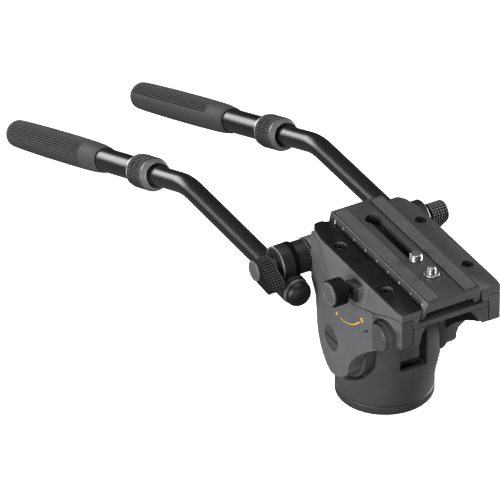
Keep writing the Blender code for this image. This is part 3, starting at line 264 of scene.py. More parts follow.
def finish_of(name, base, roughness, metallic=0.0, scale=1800.0, contrast=0.15, spread=0.08, bump=0.15,
              shade=None, specular=0.5):
    """A finish: the grain group over Object coordinates feeds colour, roughness and bump.

    shade, where given, makes the socket that scales the colour over the surface.
    """
    mat = bpy.data.materials.new(name)
    mat.use_nodes = True
    tree = mat.node_tree
    link = tree.links.new
    shader = tree.nodes["Principled BSDF"]
    shader.inputs["Metallic"].default_value = metallic
    shader.inputs["Specular IOR Level"].default_value = specular
    place = tree.nodes.new("ShaderNodeTexCoord")
    grain = tree.nodes.new("ShaderNodeGroup")
    grain.node_tree = GRAIN
    link(place.outputs["Object"], grain.inputs["Vector"])
    grain.inputs["Base"].default_value = (*base, 1.0)
    grain.inputs["Scale"].default_value = scale
    grain.inputs["Contrast"].default_value = contrast
    grain.inputs["Roughness"].default_value = roughness
    grain.inputs["Roughness Spread"].default_value = spread
    bumped = add(tree, "ShaderNodeBump", Strength=bump, Distance=BUMP_DEPTH)
    link(grain.outputs["Height"], bumped.inputs["Height"])
    link(grain.outputs["Roughness"], shader.inputs["Roughness"])
    link(bumped.outputs["Normal"], shader.inputs["Normal"])
    color = grain.outputs["Color"]
    if shade:
        scaled = add(tree, "ShaderNodeVectorMath", {"operation": "SCALE"})
        link(color, scaled.inputs[0])
        link(shade(tree, place), scaled.inputs["Scale"])
        color = scaled.outputs[0]
    link(color, shader.inputs["Base Color"])
    return mat


def ramp(tree, source, start, end, low=0.0, high=1.0):
    """Socket that goes from low to high while the source goes from start to end."""
    node = add(tree, "ShaderNodeMapRange", {"clamp": True})
    for key, value in (("From Min", start), ("From Max", end), ("To Min", low), ("To Max", high)):
        node.inputs[key].default_value = value
    tree.links.new(source, node.inputs["Value"])
    return node.outputs["Result"]


def product(tree, first, second):
    """Socket that is one socket times another."""
    node = add(tree, "ShaderNodeMath", {"operation": "MULTIPLY"})
    tree.links.new(first, node.inputs[0])
    tree.links.new(second, node.inputs[1])
    return node.outputs[0]


def darker_top(height, share):
    """Scales a finish above the given height in millimetres, by a short ramp on the object's own Z."""
    def shade(tree, place):
        split = tree.nodes.new("ShaderNodeSeparateXYZ")
        tree.links.new(place.outputs["Object"], split.inputs[0])
        return ramp(tree, split.outputs["Z"], (height - 0.15) * MM, (height + 0.05) * MM, 1.0, share)
    return shade


def painted_crest_light_and_groove_shade(groove, crest, start=0.0):
    """Painted highlights and shade by the tip attribute: the finish is scaled by groove up to the start value,
    then up to crest at 1, so crests are lit and grooves shaded in the colour.
    """
    def shade(tree, place):
        tip = add(tree, "ShaderNodeAttribute", {"attribute_name": "tip"})
        return ramp(tree, tip.outputs["Fac"], start, 1.0, groove, crest)
    return shade


def shaded_boxes(*boxes, soft=0.15):
    """Scales a finish inside boxes of its object's own space.

    Each box is (low corner, high corner, share, both sides) in millimetres; both sides measures x from the
    middle plane, either way.  The share fades out over the soft length just outside each wall of the box.
    """
    def shade(tree, place):
        split = tree.nodes.new("ShaderNodeSeparateXYZ")
        tree.links.new(place.outputs["Object"], split.inputs[0])
        either = add(tree, "ShaderNodeMath", {"operation": "ABSOLUTE"})
        tree.links.new(split.outputs["X"], either.inputs[0])
        scale = None
        for low, high, share, both_sides in boxes:
            mask = None
            for at, axis in enumerate("XYZ"):
                source = either.outputs[0] if both_sides and axis == "X" else split.outputs[axis]
                for start, end in ((low[at] - soft, low[at]), (high[at] + soft, high[at])):
                    wall = ramp(tree, source, start * MM, end * MM)
                    mask = product(tree, mask, wall) if mask else wall
            amount = ramp(tree, mask, 0.0, 1.0, 1.0, share)
            scale = product(tree, scale, amount) if scale else amount
        return scale
    return shade


# Finishes.  After the name and the colour come roughness, metallic, the grain's scale, how much it varies
# the tone and the roughness, and how strong its bump is.

# Boxes that a shade darkens or brightens, in millimetres: low corner, high corner, share, both sides. A box
# that paints shade or light is noted above it.
# Painted shadow: the recess's right wall, darkened to near black as if in shade
RECESS_SIDE_WALL_SHADOW = ((11.05, -60.0, 41.9), (11.3, -31.5, 110.0), 0.06, False)
# Painted light: the recess's back wall, brightened as if lit from the front
RECESS_BACK_WALL_LIGHT = ((-10.9, -38.0, 42.2), (10.9, -28.0, 112.0), 2.6, False)
CHEEK_NOSES = ((38.0, -92.0, 88.0), (47.0, -60.5, 118.0), 0.55, True)
# Painted shade on the left cheek's front face
LEFT_CHEEK_FRONT_SHADE = ((-47.0, -94.5, 80.0), (-27.0, -93.4, 128.0), 0.62, False)
# Painted shadow on the right cheek's inner face
RIGHT_CHEEK_INSIDE_SHADOW = ((31.0, -91.0, 60.0), (32.6, 40.0, 117.0), 0.06, False)
JAW_TOP = ((10.0, -60.0, 133.6), (48.0, 0.0, 134.0), 0.04, True)
# Painted shadow on the jaw's boss under the safety button
JAW_BOSS_SHADOW = ((47.6, -60.0, 110.0), (60.0, 0.0, 131.0), 0.22, True)
PLATE_FLANKS = ((22.1, -90.4, 100.0), (40.0, 60.0, 135.6), 0.12, True)
# Painted light on the plate's front face, which is made lighter than its top
PLATE_FRONT_LIGHT = ((-30.0, -99.5, 122.0), (30.0, -90.4, 139.4), 2.6, False)
RAIL_SHADE_Z, BUTTON_SHADE_Z = RAIL_TOP - 0.08, 130.5

CASTING = finish_of("satin_dark_casting", (0.046, 0.047, 0.049), 0.48, 0.0, 2600.0, 0.20, 0.10, 0.25)
# The housing's finish paints shadow on the recess's right wall and light on its back wall.
HOUSING_SKIN = finish_of("housing_with_painted_recess_shade_and_light", (0.044, 0.045, 0.047), 0.48, 0.0, 1500.0, 0.42, 0.10,
                         0.25, shade=shaded_boxes(RECESS_SIDE_WALL_SHADOW, RECESS_BACK_WALL_LIGHT))
DECK_SKIN = finish_of("satin_deck_casting", (0.078, 0.079, 0.082), 0.46, 0.0, 1500.0, 0.40, 0.10, 0.25)
BASE_SKIN = finish_of("dark_base_ring", (0.026, 0.027, 0.028), 0.45, 0.0, 2600.0, 0.20, 0.10, 0.25)
# The cheek's finish paints shade on the left front face and shadow on the right inner face.
CHEEK_GREY = finish_of("satin_grey_cheek_with_painted_shade", (0.096, 0.098, 0.101), 0.46, 0.0, 1500.0, 0.38, 0.10, 0.25,
                       shade=shaded_boxes(CHEEK_NOSES, LEFT_CHEEK_FRONT_SHADE, RIGHT_CHEEK_INSIDE_SHADOW, soft=0.6))
RAIL_SKIN = finish_of("rail_with_dark_top", (0.105, 0.107, 0.110), 0.46, 0.0, 1500.0, 0.38, 0.08, 0.20,
                      shade=darker_top(RAIL_SHADE_Z, 0.04), specular=0.25)
# The jaw's finish paints shadow on its boss under the button.
JAW_SKIN = finish_of("jaw_with_painted_boss_shadow", (0.105, 0.107, 0.110), 0.46, 0.0, 1500.0, 0.38, 0.08, 0.20,
                     shade=shaded_boxes(JAW_TOP, JAW_BOSS_SHADOW), specular=0.25)
# Painted shade: the safety button's top is darker than its sides, which are the same moulding
BUTTON_SKIN = finish_of("button_with_painted_top_shade", (0.050, 0.051, 0.053), 0.45, 0.0, 2400.0, 0.16, 0.08, 0.15,
                        shade=darker_top(BUTTON_SHADE_Z, 0.2))
RAIL_SKIN_RIGHT = finish_of("rail_with_grey_top", (0.096, 0.097, 0.100), 0.46, 0.0, 1500.0, 0.38, 0.08, 0.20,
                            shade=darker_top(RAIL_SHADE_Z, 0.50))
# The plate's finish paints light on its front face.
PLATE_SKIN = finish_of("anodised_plate_with_painted_front_light", (0.040, 0.041, 0.043), 0.45, 0.0, 1800.0, 0.32, 0.08, 0.12,
                       shade=shaded_boxes(PLATE_FLANKS, PLATE_FRONT_LIGHT))
STRIP_RUBBER = finish_of("fine_strip_rubber", (0.060, 0.061, 0.062), 0.85, 0.0, 3000.0, 0.45, 0.06, 0.6)
# Painted highlights on the grip's ribs and painted shade in its grooves
GRIP_RUBBER = finish_of("ribbed_grip_rubber", (0.040, 0.040, 0.041), 0.60, 0.0, 2200.0, 0.20, 0.08, 0.3,
                        shade=painted_crest_light_and_groove_shade(0.02, 1.5, 0.35), specular=0.25)
TUBE_BLACK = finish_of("satin_black_tube", (0.006, 0.006, 0.007), 0.29, 0.0, 1500.0, 0.15, 0.04, 0.06,
                       specular=0.9)
KNOB_BLACK = finish_of("moulded_black_knob", (0.020, 0.020, 0.021), 0.42, 0.0, 2200.0, 0.20, 0.08, 0.3)
CAP_BLACK = finish_of("black_end_cap", (0.007, 0.007, 0.008), 0.42, 0.0, 2200.0, 0.15, 0.06, 0.1,
                      specular=0.3)
# Painted shadow: near black standing for the shade deep in a gap
GAP_SHADOW_BLACK = finish_of("painted_gap_shadow", (0.003, 0.003, 0.003), 0.9, 0.0, 2200.0, 0.15, 0.06, 0.1, specular=0.05)
BRACKET_BLACK = finish_of("satin_black_bracket", (0.013, 0.013, 0.014), 0.45, 0.0, 2200.0, 0.20, 0.08, 0.2,
                          specular=0.3)
LOCK_BLACK = finish_of("matt_black_lock_knob", (0.005, 0.005, 0.006), 0.55, 0.0, 2200.0, 0.20, 0.08, 0.3,
                       specular=0.08)
# Painted highlights on the wing knobs' studs and painted shade between them
STUD_BLACK = finish_of("studded_black_knob", (0.070, 0.070, 0.072), 0.45, 0.0, 2200.0, 0.20, 0.08, 0.2,
                       shade=painted_crest_light_and_groove_shade(0.06, 1.9, 0.62), specular=0.2)
# Painted light: the right wing knob's studded finish, lighter than the left knob's though the knobs are alike
STUD_GREY_PAINTED_LIT = finish_of("studded_knob_painted_lighter", (0.150, 0.150, 0.153), 0.45, 0.0, 2200.0, 0.20, 0.08, 0.2,
                      shade=painted_crest_light_and_groove_shade(0.04, 2.2, 0.45), specular=0.2)
# Painted highlight: light grey for the glint along the plate's top left edge
EDGE_HIGHLIGHT_GREY = finish_of("painted_plate_edge_highlight", (0.36, 0.36, 0.37), 0.40, 0.3, 2600.0, 0.12, 0.06, 0.1)
# Black for the seams between cover and casting, and for painted shadow beside the rubber strips
SEAM_AND_SHADOW_BLACK = finish_of("dark_seam_and_painted_shadow", (0.004, 0.004, 0.004), 0.8, 0.0, 2200.0, 0.15, 0.06, 0.1, specular=0.1)
# Painted highlights on the collar's knurl and painted shade in its grooves
COLLAR_BLACK = finish_of("knurled_collar_rubber", (0.034, 0.034, 0.035), 0.45, 0.0, 2200.0, 0.25, 0.08, 0.3,
                         shade=painted_crest_light_and_groove_shade(0.03, 1.6, 0.6), specular=0.2)
CAP_GREY = finish_of("grey_knob_cap", (0.120, 0.122, 0.125), 0.42, 0.2, 2600.0, 0.12, 0.08, 0.12)
# Painted highlights: a light finish for the ring of teeth that stands for the glints on the rosette's edge,
# with painted shade between the teeth
TOOTH_HIGHLIGHT_GREY = finish_of("rosette_teeth_painted_highlight", (0.30, 0.30, 0.31), 0.45, 0.0, 2200.0, 0.20, 0.08, 0.2,
                       shade=painted_crest_light_and_groove_shade(0.01, 1.0))
RING_GREY = finish_of("grey_ring", (0.200, 0.202, 0.206), 0.34, 0.5, 2600.0, 0.12, 0.06, 0.10)
CENTRE_GREY = finish_of("dark_knob_centre", (0.085, 0.086, 0.088), 0.45, 0.1, 2600.0, 0.12, 0.06, 0.15)
COIN_GREY = finish_of("slotted_cap_grey", (0.048, 0.049, 0.051), 0.45, 0.1, 2600.0, 0.12, 0.06, 0.15)
SILVER = finish_of("polished_silver_ring", (0.34, 0.34, 0.34), 0.30, 1.0, 2600.0, 0.06, 0.05, 0.04)
# Painted shade in the thread's grooves
NICKEL = finish_of("nickel_thread", (0.48, 0.475, 0.47), 0.34, 1.0, 2200.0, 0.06, 0.04, 0.03,
                   shade=painted_crest_light_and_groove_shade(0.15, 1.0))
STEEL = finish_of("turned_steel", (0.42, 0.42, 0.43), 0.32, 1.0, 2200.0, 0.12, 0.08, 0.10)
SCREW_BLACK = finish_of("black_oxide_screw", (0.014, 0.014, 0.015), 0.35, 0.4, 2200.0, 0.2, 0.08, 0.1)
BRONZE = finish_of("oiled_bronze", (0.40, 0.28, 0.14), 0.38, 1.0, 2200.0, 0.15, 0.08, 0.1)
YELLOW_PRINT = finish_of("yellow_pad_print", (0.80, 0.47, 0.030), 0.5, 0.0, 3000.0, 0.10, 0.06, 0.05)
WHITE_PRINT = finish_of("white_pad_print", (0.80, 0.80, 0.80), 0.5, 0.0, 3000.0, 0.06, 0.06, 0.05)
DARK_MARK = finish_of("dark_sunk_mark", (0.012, 0.012, 0.012), 0.6, 0.0, 3000.0, 0.10, 0.06, 0.05)


# CAD castings: merged, rounded and shaded by modifiers, which leave their mesh as it is

def smooth_group():
    """Geometry nodes that shade every face smooth."""
    tree = bpy.data.node_groups.new("shade_smooth", "GeometryNodeTree")
    tree.interface.new_socket(name="Geometry", in_out="INPUT", socket_type="NodeSocketGeometry")
    tree.interface.new_socket(name="Geometry", in_out="OUTPUT", socket_type="NodeSocketGeometry")
    a, z = tree.nodes.new("NodeGroupInput"), tree.nodes.new("NodeGroupOutput")
    shade = tree.nodes.new("GeometryNodeSetShadeSmooth")
    tree.links.new(a.outputs[0], shade.inputs[0])
    tree.links.new(shade.outputs[0], z.inputs[0])
    return tree


SMOOTH = smooth_group()


MERGE, FLAT_DEG, CORNER_DEG = 0.002, 0.6, 28.0


def dress(node, finish, edge):
    """Gives a CAD node its finish and rounds its corners by the given radius in millimetres.

    Points closer than MERGE are joined, faces within FLAT_DEG of each other become one, and corners
    sharper than CORNER_DEG are rounded.
    """
    obj = NODES[node]
    obj.data.materials.clear()
    obj.data.materials.append(finish)
    weld = obj.modifiers.new("merge", "WELD")
    weld.merge_threshold = MERGE * MM
    flat = obj.modifiers.new("flat_faces", "DECIMATE")
    flat.decimate_type = "DISSOLVE"
    flat.angle_limit = math.radians(FLAT_DEG)
    shade = obj.modifiers.new("shade", "NODES")
    shade.node_group = SMOOTH
    if edge:
        bevel = obj.modifiers.new("edges", "BEVEL")
        bevel.width = edge * MM
        bevel.segments = 3
        bevel.limit_method = "ANGLE"
        bevel.angle_limit = math.radians(CORNER_DEG)
        bevel.harden_normals = True
        bevel.use_clamp_overlap = True


# Finish, radius of the edges in millimetres, and the nodes that have them
DRESSED = (
    (HOUSING_SKIN, 0.6, "pan_housing"),
    (DECK_SKIN, 0.6, "deck left_front_arm right_front_arm"),
    (CHEEK_GREY, 0.5, "left_cheek right_cheek"),
    (RAIL_SKIN, 0.55, "left_rail_rear left_rail_front"),
    (JAW_SKIN, 0.55, "clamp_jaw"),
    (RAIL_SKIN_RIGHT, 0.55, "right_rail"),
    (BASE_SKIN, 0.3, "base_ring"),
    (CASTING, 0.3, "tilt_drum_left tilt_drum_right"),
    (BRACKET_BLACK, 0.8, "left_bracket right_bracket"),
    (STEEL, 0.0, "pan_shaft tilt_shaft"),
    (BRONZE, 0.0, "pan_drag_disc tilt_bush_left tilt_bush_right pan_bearing"),
    (SCREW_BLACK, 0.15, "rail_screw_left_rear rail_screw_left_front"),
    (SCREW_BLACK, 0.15, "rail_screw_right_rear rail_screw_right_front"),
    (PLATE_SKIN, 0.35, "sliding_plate"),
    (BUTTON_SKIN, 0.3, "safety_button"),
    (COIN_GREY, 0.2, "tilt_axis_cap"),
    (STRIP_RUBBER, 0.15, "rubber_strip_left rubber_strip_right"),
)
for finish, edge, names in DRESSED:
    for node in names.split():
        dress(node, finish, edge)


# Handles: tubes, rings, collars and grips

def handle_frame(side):
    """Start of the sloping stretch of a handle on that side."""
    return np.array([side * TUBE_X, BEND_Y, TUBE_Z])


def inner_tube(side):
    """Grid of the bent tube: rings carried along the line of its axis, out along the outside and back
    along the bore.

    The line runs along +Y, then turns down by an arc whose tangent length is R*tan(slope/2), then runs
    down the slope.  A ring point is axis point + r*(cos(a)*X + sin(a)*N), N = tangent x X.
    """
    tangent = BEND_R * math.tan(SLOPE / 2.0)
    turn = np.linspace(0.0, SLOPE, 28)
    first = np.array([[TUBE_START, TUBE_Z]])
    arc = np.stack([BEND_Y - tangent + BEND_R * np.sin(turn), TUBE_Z - BEND_R * (1.0 - np.cos(turn))], axis=1)
    last = np.array([[BEND_Y + TUBE_END * math.cos(SLOPE), TUBE_Z - TUBE_END * math.sin(SLOPE)]])
    line = np.concatenate([first, arc, last])
    heading = np.concatenate([[0.0], turn, [SLOPE]])
    angle = np.linspace(0.0, 2.0 * np.pi, 64, endpoint=False)[None, :]

    def shell(radius, order):
        yz, lean = line[order], heading[order][:, None]
        x = side * TUBE_X + radius * np.cos(angle) + 0.0 * lean
        y = yz[:, :1] + radius * np.sin(angle) * np.sin(lean)
        z = yz[:, 1:] + radius * np.sin(angle) * np.cos(lean)
        return np.stack([x, y, z], axis=-1)

    order = np.arange(len(line))
    return np.concatenate([shell(TUBE_R, order), shell(TUBE_BORE_R, order[::-1])])


GRIP_GROOVE, GRIP_RIBS, SMOOTH_STRIP_DEG = 0.75, 38.0, 31.0
COLLAR_GROOVE, COLLAR_RIDGES = 0.6, 44.0

# Outlines along the slope, from the bend outwards: (place along the tube, radius, fillet)
SLIDING_TUBE = [(58.8, 8.4), (58.8, 9.4, 0.3), (296.0, 9.4, 0.3), (296.0, 8.4)]
LIGHT_RING = [(53.6, 8.4), (53.6, 9.5, 0.2), (50.6, 9.8, 0.2), (50.6, 10.7, 0.3), (55.2, 12.5, 0.4),
              (56.2, 12.7, 0.2), (56.2, 8.4)]
BRIGHT_LINE = [(55.3, 12.0), (55.3, 12.75, 0.1), (56.3, 12.95, 0.2), (56.3, 12.0)]
COLLAR = [(56.6, 9.8), (56.6, 12.6, 0.3), (57.8, 13.4, 0.4), (78.3, 13.4, 0.4), (79.4, 12.6, 0.3),
          (79.4, 9.8)]
BRIGHT_RING = [(79.9, 9.8), (79.9, 12.9, 0.3), (82.2, 12.9, 0.6), (82.2, 9.8)]
GRIP = [(143.1, 9.7), (143.1, 10.5, 0.4), (144.6, 10.7, 0.3), (145.0, 10.3, 0.2), (145.6, 10.7, 0.3),
        (153.0, 11.5, 2.0), (166.0, 11.9, 3.0), (200.0, 12.2, 6.0), (250.0, 12.1, 8.0), (290.0, 11.6, 6.0),
        (303.5, 11.2, 2.0), (304.1, 10.9, 0.2), (304.7, 11.1, 0.2), (307.5, 10.0, 2.0), (308.9, 7.4, 1.2),
        (309.0, 0.0)]


def grip_relief(s, angle):
    """Long ribs, left out near the neck and on a smooth strip that faces the other handle.

    The angle is measured from the side that faces the other handle, and the strip ends at the same angle
    each way.  Depth is the groove's times (1 - ribs).
    """
    field = band(s, 170.0, 302.5, 1.5)
    away = np.abs((angle + np.pi) % (2.0 * np.pi) - np.pi)
    ribbed = band(away, math.radians(SMOOTH_STRIP_DEG), 9.0, 0.02)
    return GRIP_GROOVE * field * ribbed * (ribs(angle, GRIP_RIBS, 0.8) - 1.0)


def collar_relief(s, angle):
    """Raised knurl blocks: ridges round the axis broken by two grooves, on a chamfered barrel."""
    field = band(s, 58.4, 77.9, 0.4)
    rows = 1.0 - band(s, 64.2, 65.4, 0.3) - band(s, 71.0, 72.2, 0.3)
    return -COLLAR_GROOVE * field * (1.0 - ribs(angle, COLLAR_RIDGES, 0.6) * np.clip(rows, 0.0, 1.0))


for word, side in SIDES.items():
    start = handle_frame(side)
    spin = dict(origin=start, axis=DOWN_SLOPE, across=X)
    slide = f"extension_{word}"
    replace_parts(skin(f"{word}_bent_tube", inner_tube(side), f"bracket_{word}", TUBE_BLACK, True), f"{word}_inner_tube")
    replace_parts(turned(f"{word}_sliding_tube", SLIDING_TUBE, body=slide, finish=TUBE_BLACK, slot="tube_black",
                       sides=72, ring=True, **spin), f"{word}_outer_tube")
    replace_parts(turned(f"{word}_light_ring", LIGHT_RING, body=slide, finish=RING_GREY, slot="cap_grey",
                       ring=True, **spin), f"{word}_front_ring")
    turned(f"{word}_bright_line", BRIGHT_LINE, body=slide, finish=SILVER, slot="nickel", ring=True, **spin)
    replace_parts(turned(f"{word}_knurled_collar", COLLAR, body=f"collar_{word}", finish=COLLAR_BLACK,
                       slot="knob_black", sides=440, pitch=0.6, relief=collar_relief, ring=True,
                       depth=COLLAR_GROOVE, **spin), f"{word}_lock_collar")
    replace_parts(turned(f"{word}_bright_ring", BRIGHT_RING, body=slide, finish=SILVER, slot="nickel",
                       ring=True, **spin), f"{word}_silver_ring")
    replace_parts(turned(f"{word}_ribbed_grip", GRIP, start, DOWN_SLOPE, -side * X, slide, GRIP_RUBBER,
                       "grip_rubber", 532, 3.0, grip_relief, depth=GRIP_GROOVE), f"{word}_grip")


END_CAP = [(-33.7, 0.0), (-33.7, 9.9, 0.1), (-33.3, 10.2, 0.2), (-30.9, 10.2, 0.1), (-30.6, 9.9, 0.1),
           (-30.1, 9.9, 0.1), (-29.8, 10.2, 0.2), (-28.6, 10.0, 0.8), (-26.0, 8.6, 1.2), (-24.4, 5.0, 1.5),
           (-24.0, 0.0)]
END_CAP_BAND = [(-33.6, 9.9), (-33.6, 10.35, 0.2), (-31.0, 10.35, 0.2), (-31.0, 9.9)]
for word, side in SIDES.items():
    spin = dict(origin=(side * TUBE_X, 0.0, TUBE_Z), axis=-Y, across=X, body=f"bracket_{word}")
    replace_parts(turned(f"{word}_banded_end_cap", END_CAP, finish=CAP_BLACK, slot="knob_black", **spin),
                f"{word}_tube_end_cap")
    turned(f"{word}_end_cap_band", END_CAP_BAND, finish=RING_GREY, slot="cap_grey", ring=True, **spin)


# Rosettes, wing knobs, plate lock knob, tilt drag knob and pan lock knob

def dimples(s, angle, low, high, rows, count, depth):
    """Square grid of raised studs: the product of a ridge along the axis and a ridge round it."""
    field = band(s, low, high, 0.3)
    along = np.abs(np.cos(np.pi * rows * (s - low) / (high - low)))
    return -depth * field * (1.0 - along ** 0.7 * ribs(angle, count, 0.7))


# Outlines outwards from the middle plane: (distance from it, radius, fillet)
ROSETTE = [(37.0, 0.0), (37.0, 12.3, 0.2), (37.4, 12.6, 0.2), (48.8, 12.6, 0.2), (49.2, 12.2, 0.1),
           (49.2, 11.4), (46.5, 11.4), (46.5, 0.0)]
ROSETTE_TEETH = [(38.2, 12.2), (38.2, 12.75, 0.1), (39.0, 12.75, 0.1), (39.0, 12.2)]
# A black band in the gap between hub and bracket: painted shadow
HUB_GAP_SHADOW = [(49.6, 13.2), (49.6, 14.04), (53.4, 14.04), (53.4, 13.2)]
HUB_RIM = [(62.4, 12.6), (62.4, 14.02, 0.1), (63.05, 13.6, 0.2), (63.05, 12.6)]
FLUTE_DEPTH, TOOTH_DEPTH = 0.9, 0.5


def rosette_flutes(s, angle):
    """Flutes round the rosette's inner end: the depth times (1 - ridges), faded out along the axis."""
    return -FLUTE_DEPTH * band(s, 36.0, 38.3, 0.3) * (1.0 - ribs(angle, 48.0, 0.35))


def rosette_teeth(s, angle):
    """Teeth all round the band: the depth times (1 - ridges)."""
    return -TOOTH_DEPTH * (1.0 - ribs(angle, 36.0, 1.6))


for word, side in SIDES.items():
    spin = dict(origin=(0.0, BRACKET_Y, BRACKET_Z), axis=side * X, across=Y)
    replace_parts(turned(f"{word}_toothed_rosette", ROSETTE, body="tilt", finish=BRACKET_BLACK,
                       slot="dark_casting", sides=288, pitch=0.4, relief=rosette_flutes, **spin),
                f"{word}_rosette")
    # A light ring of teeth by the cheek: painted highlights along the rosette's edge
    turned(f"{word}_rosette_teeth", ROSETTE_TEETH, body="tilt", finish=TOOTH_HIGHLIGHT_GREY, slot="cap_grey", sides=288,
           pitch=0.4, relief=rosette_teeth, ring=True, depth=TOOTH_DEPTH, **spin)
    turned(f"{word}_hub_gap_shadow", HUB_GAP_SHADOW, body=f"bracket_{word}", finish=GAP_SHADOW_BLACK, slot="knob_black",
           ring=True, **spin)
    turned(f"{word}_hub_rim", HUB_RIM, body=f"bracket_{word}", finish=RING_GREY, slot="cap_grey",
           ring=True, **spin)


def hull_outline(centre, radius, tip, tip_radius, count):
    """Outline of a hub and a tip joined by their two outer tangents, as evenly spaced (y, z) points.

    With d the distance between the centres, the tangents leave both circles at acos((R - r) / d) either
    side of the line between them.
    """
    centre, tip = np.array(centre, float), np.array(tip, float)
    gap = tip - centre
    lean = math.atan2(gap[1], gap[0])
    spread = math.acos((radius - tip_radius) / np.linalg.norm(gap))
    near = np.linspace(lean - spread, lean + spread, 60)
    far = np.linspace(lean + spread, lean - spread + 2.0 * np.pi, 120)
    line = np.concatenate([tip + tip_radius * np.stack([np.cos(near), np.sin(near)], axis=1),
                           centre + radius * np.stack([np.cos(far), np.sin(far)], axis=1)])
    line = np.concatenate([line, line[:1]])
    run = np.concatenate([[0.0], np.cumsum(np.linalg.norm(np.diff(line, axis=0), axis=1))])
    even = np.linspace(0.0, run[-1], count, endpoint=False)
    return np.stack([np.interp(even, run, line[:, 0]), np.interp(even, run, line[:, 1])], axis=1), run[-1]


# How steep the studs are, and the tip value of the plain faces round them
STUD_POWER, PLAIN_TIP = 0.8, 0.35


def studded_prism(outline, length, low, high, edge, stud_low, stud_high, pitch, depth, place):
    """Grid of a prism whose side carries a square field of raised studs.

    A side point moves inwards by depth * (1 - (|cos(pi*n*l)| * |cos(pi*(w-w0)/pitch)|) ^ STUD_POWER), with
    l the share of the way round the outline, n the number of studs round it, w the height and w0 stud_low.
    """
    after, before = np.roll(outline, -1, 0), np.roll(outline, 1, 0)
    run = after - before
    normal = np.stack([run[:, 1], -run[:, 0]], axis=1)
    normal /= np.linalg.norm(normal, axis=1, keepdims=True)
    if np.sum((outline - outline.mean(axis=0)) * normal) < 0.0:
        normal = -normal
    turn = np.linspace(0.0, np.pi / 2.0, 4)
    inset = np.concatenate([[3.0 * edge], edge * (1.0 - np.sin(turn))])
    lift = np.concatenate([[0.0], edge * (1.0 - np.cos(turn))])
    middle = np.arange(low + edge + 0.2, high - edge - 0.2, 0.22)
    height = np.concatenate([low + lift, middle, (high - lift)[::-1]])
    inward = np.concatenate([inset, np.zeros(len(middle)), inset[::-1]])
    count = round(length / pitch)
    l = np.arange(len(outline)) / len(outline)
    round_it = np.abs(np.cos(np.pi * count * l))[None, :]
    along = np.abs(np.cos(np.pi * (height - stud_low) / pitch))[:, None]
    field = band(height, stud_low - 0.2, stud_high + 0.2, 0.3)[:, None]
    stud = (round_it * along) ** STUD_POWER
    push = inward[:, None] + depth * field * (1.0 - stud)
    tips = np.where(field > 0.0, stud, PLAIN_TIP)
    yz = outline[None] - normal[None] * push[..., None]
    w = np.broadcast_to(height[:, None], push.shape)
    grid = place(yz[..., 0], yz[..., 1], w)
    poles = [np.broadcast_to(place(*[np.array(v, float) for v in (*outline.mean(axis=0), e)]), grid[0].shape)
             for e in (low, high)]
    edge_tips = np.full((1, len(outline)), PLAIN_TIP)
    return (np.concatenate([poles[0][None], grid, poles[1][None]]),
            np.concatenate([edge_tips, np.broadcast_to(tips, push.shape), edge_tips]))


def badge(name, low, high, radius, groove, place, axis, body):
    """A knob's face: a light rim, a fine groove and a darker round centre, as two turned pieces."""
    rim = turned(f"{name}_rim",
                 [(low, 0.0), (low, radius), (high - 0.3, radius, 0.3), (high, radius - 0.5, 0.2),
                  (high, groove, 0.2), (high - 0.6, groove - 0.2), (high - 0.6, 0.0)],
                 place, axis, Y, body, CAP_GREY, "cap_grey", 96)
    turned(f"{name}_centre",
           [(high - 0.65, 0.0), (high - 0.65, groove - 0.7, 0.1), (high - 0.25, groove - 0.9, 0.3),
            (high - 0.12, groove - 2.2, 0.4), (high - 0.2, 0.0)],
           place, axis, Y, body, CENTRE_GREY, "cap_grey", 72)
    return rim


# Wing knobs: which way each wing points and how far, the hub's and the tip's radius
WING_DEG = {"left": -165.0, "right": -62.0}
# The right wing knob's finish is painted lighter than the left's: painted light
WING_FINISH = {"left": STUD_BLACK, "right": STUD_GREY_PAINTED_LIT}
WING_REACH, WING_HUB_R, WING_TIP_R = 19.2, 8.7, 4.8
WING_STEM = [(63.3, 0.0), (63.3, 5.0, 0.2), (67.4, 5.0), (67.4, 0.0)]
for word, side in SIDES.items():
    hub = (BRACKET_Y, BRACKET_Z)
    lean = math.radians(WING_DEG[word])
    tip = (BRACKET_Y + WING_REACH * math.cos(lean), BRACKET_Z + WING_REACH * math.sin(lean))
    outline, length = hull_outline(hub, WING_HUB_R, tip, WING_TIP_R, 360)
    grid, tips = studded_prism(outline, length, low=66.9, high=80.6, edge=0.5, stud_low=68.4, stud_high=79.4,
                               pitch=2.2, depth=0.65, place=side_place(side))
    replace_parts(skin(f"{word}_studded_wing", grid, f"wing_{word}", WING_FINISH[word],
                     tips=tips), f"{word}_wing_knob")
    turned(f"{word}_wing_stem", WING_STEM, (0.0, *hub), side * X, Y, f"wing_{word}", STEEL, "steel", 48)
    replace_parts(badge(f"{word}_wing_face", low=80.3, high=81.8, radius=8.0, groove=6.1, place=(0.0, *hub),
                      axis=side * X, body=f"wing_{word}"), f"{word}_wing_cap")

LOCK_BARREL = [(51.5, 0.0), (51.5, 3.6, 0.2), (56.0, 3.6, 0.2), (56.0, 9.8, 0.5), (57.2, 10.3, 0.5),
               (66.9, 10.3, 0.7), (66.9, 0.0)]
spin = dict(axis=-X, body="plate_lock")
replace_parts(badge("lock_knob_face", low=66.6, high=68.4, radius=9.0, groove=6.9, place=(0.0, LOCK_Y, LOCK_Z),
                  **spin), "plate_lock_cap")
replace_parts(turned("lock_knob_barrel", LOCK_BARREL, (0.0, LOCK_Y, LOCK_Z), across=Y, finish=LOCK_BLACK,
                   slot="knob_black", sides=120, **spin), "plate_lock_knob")

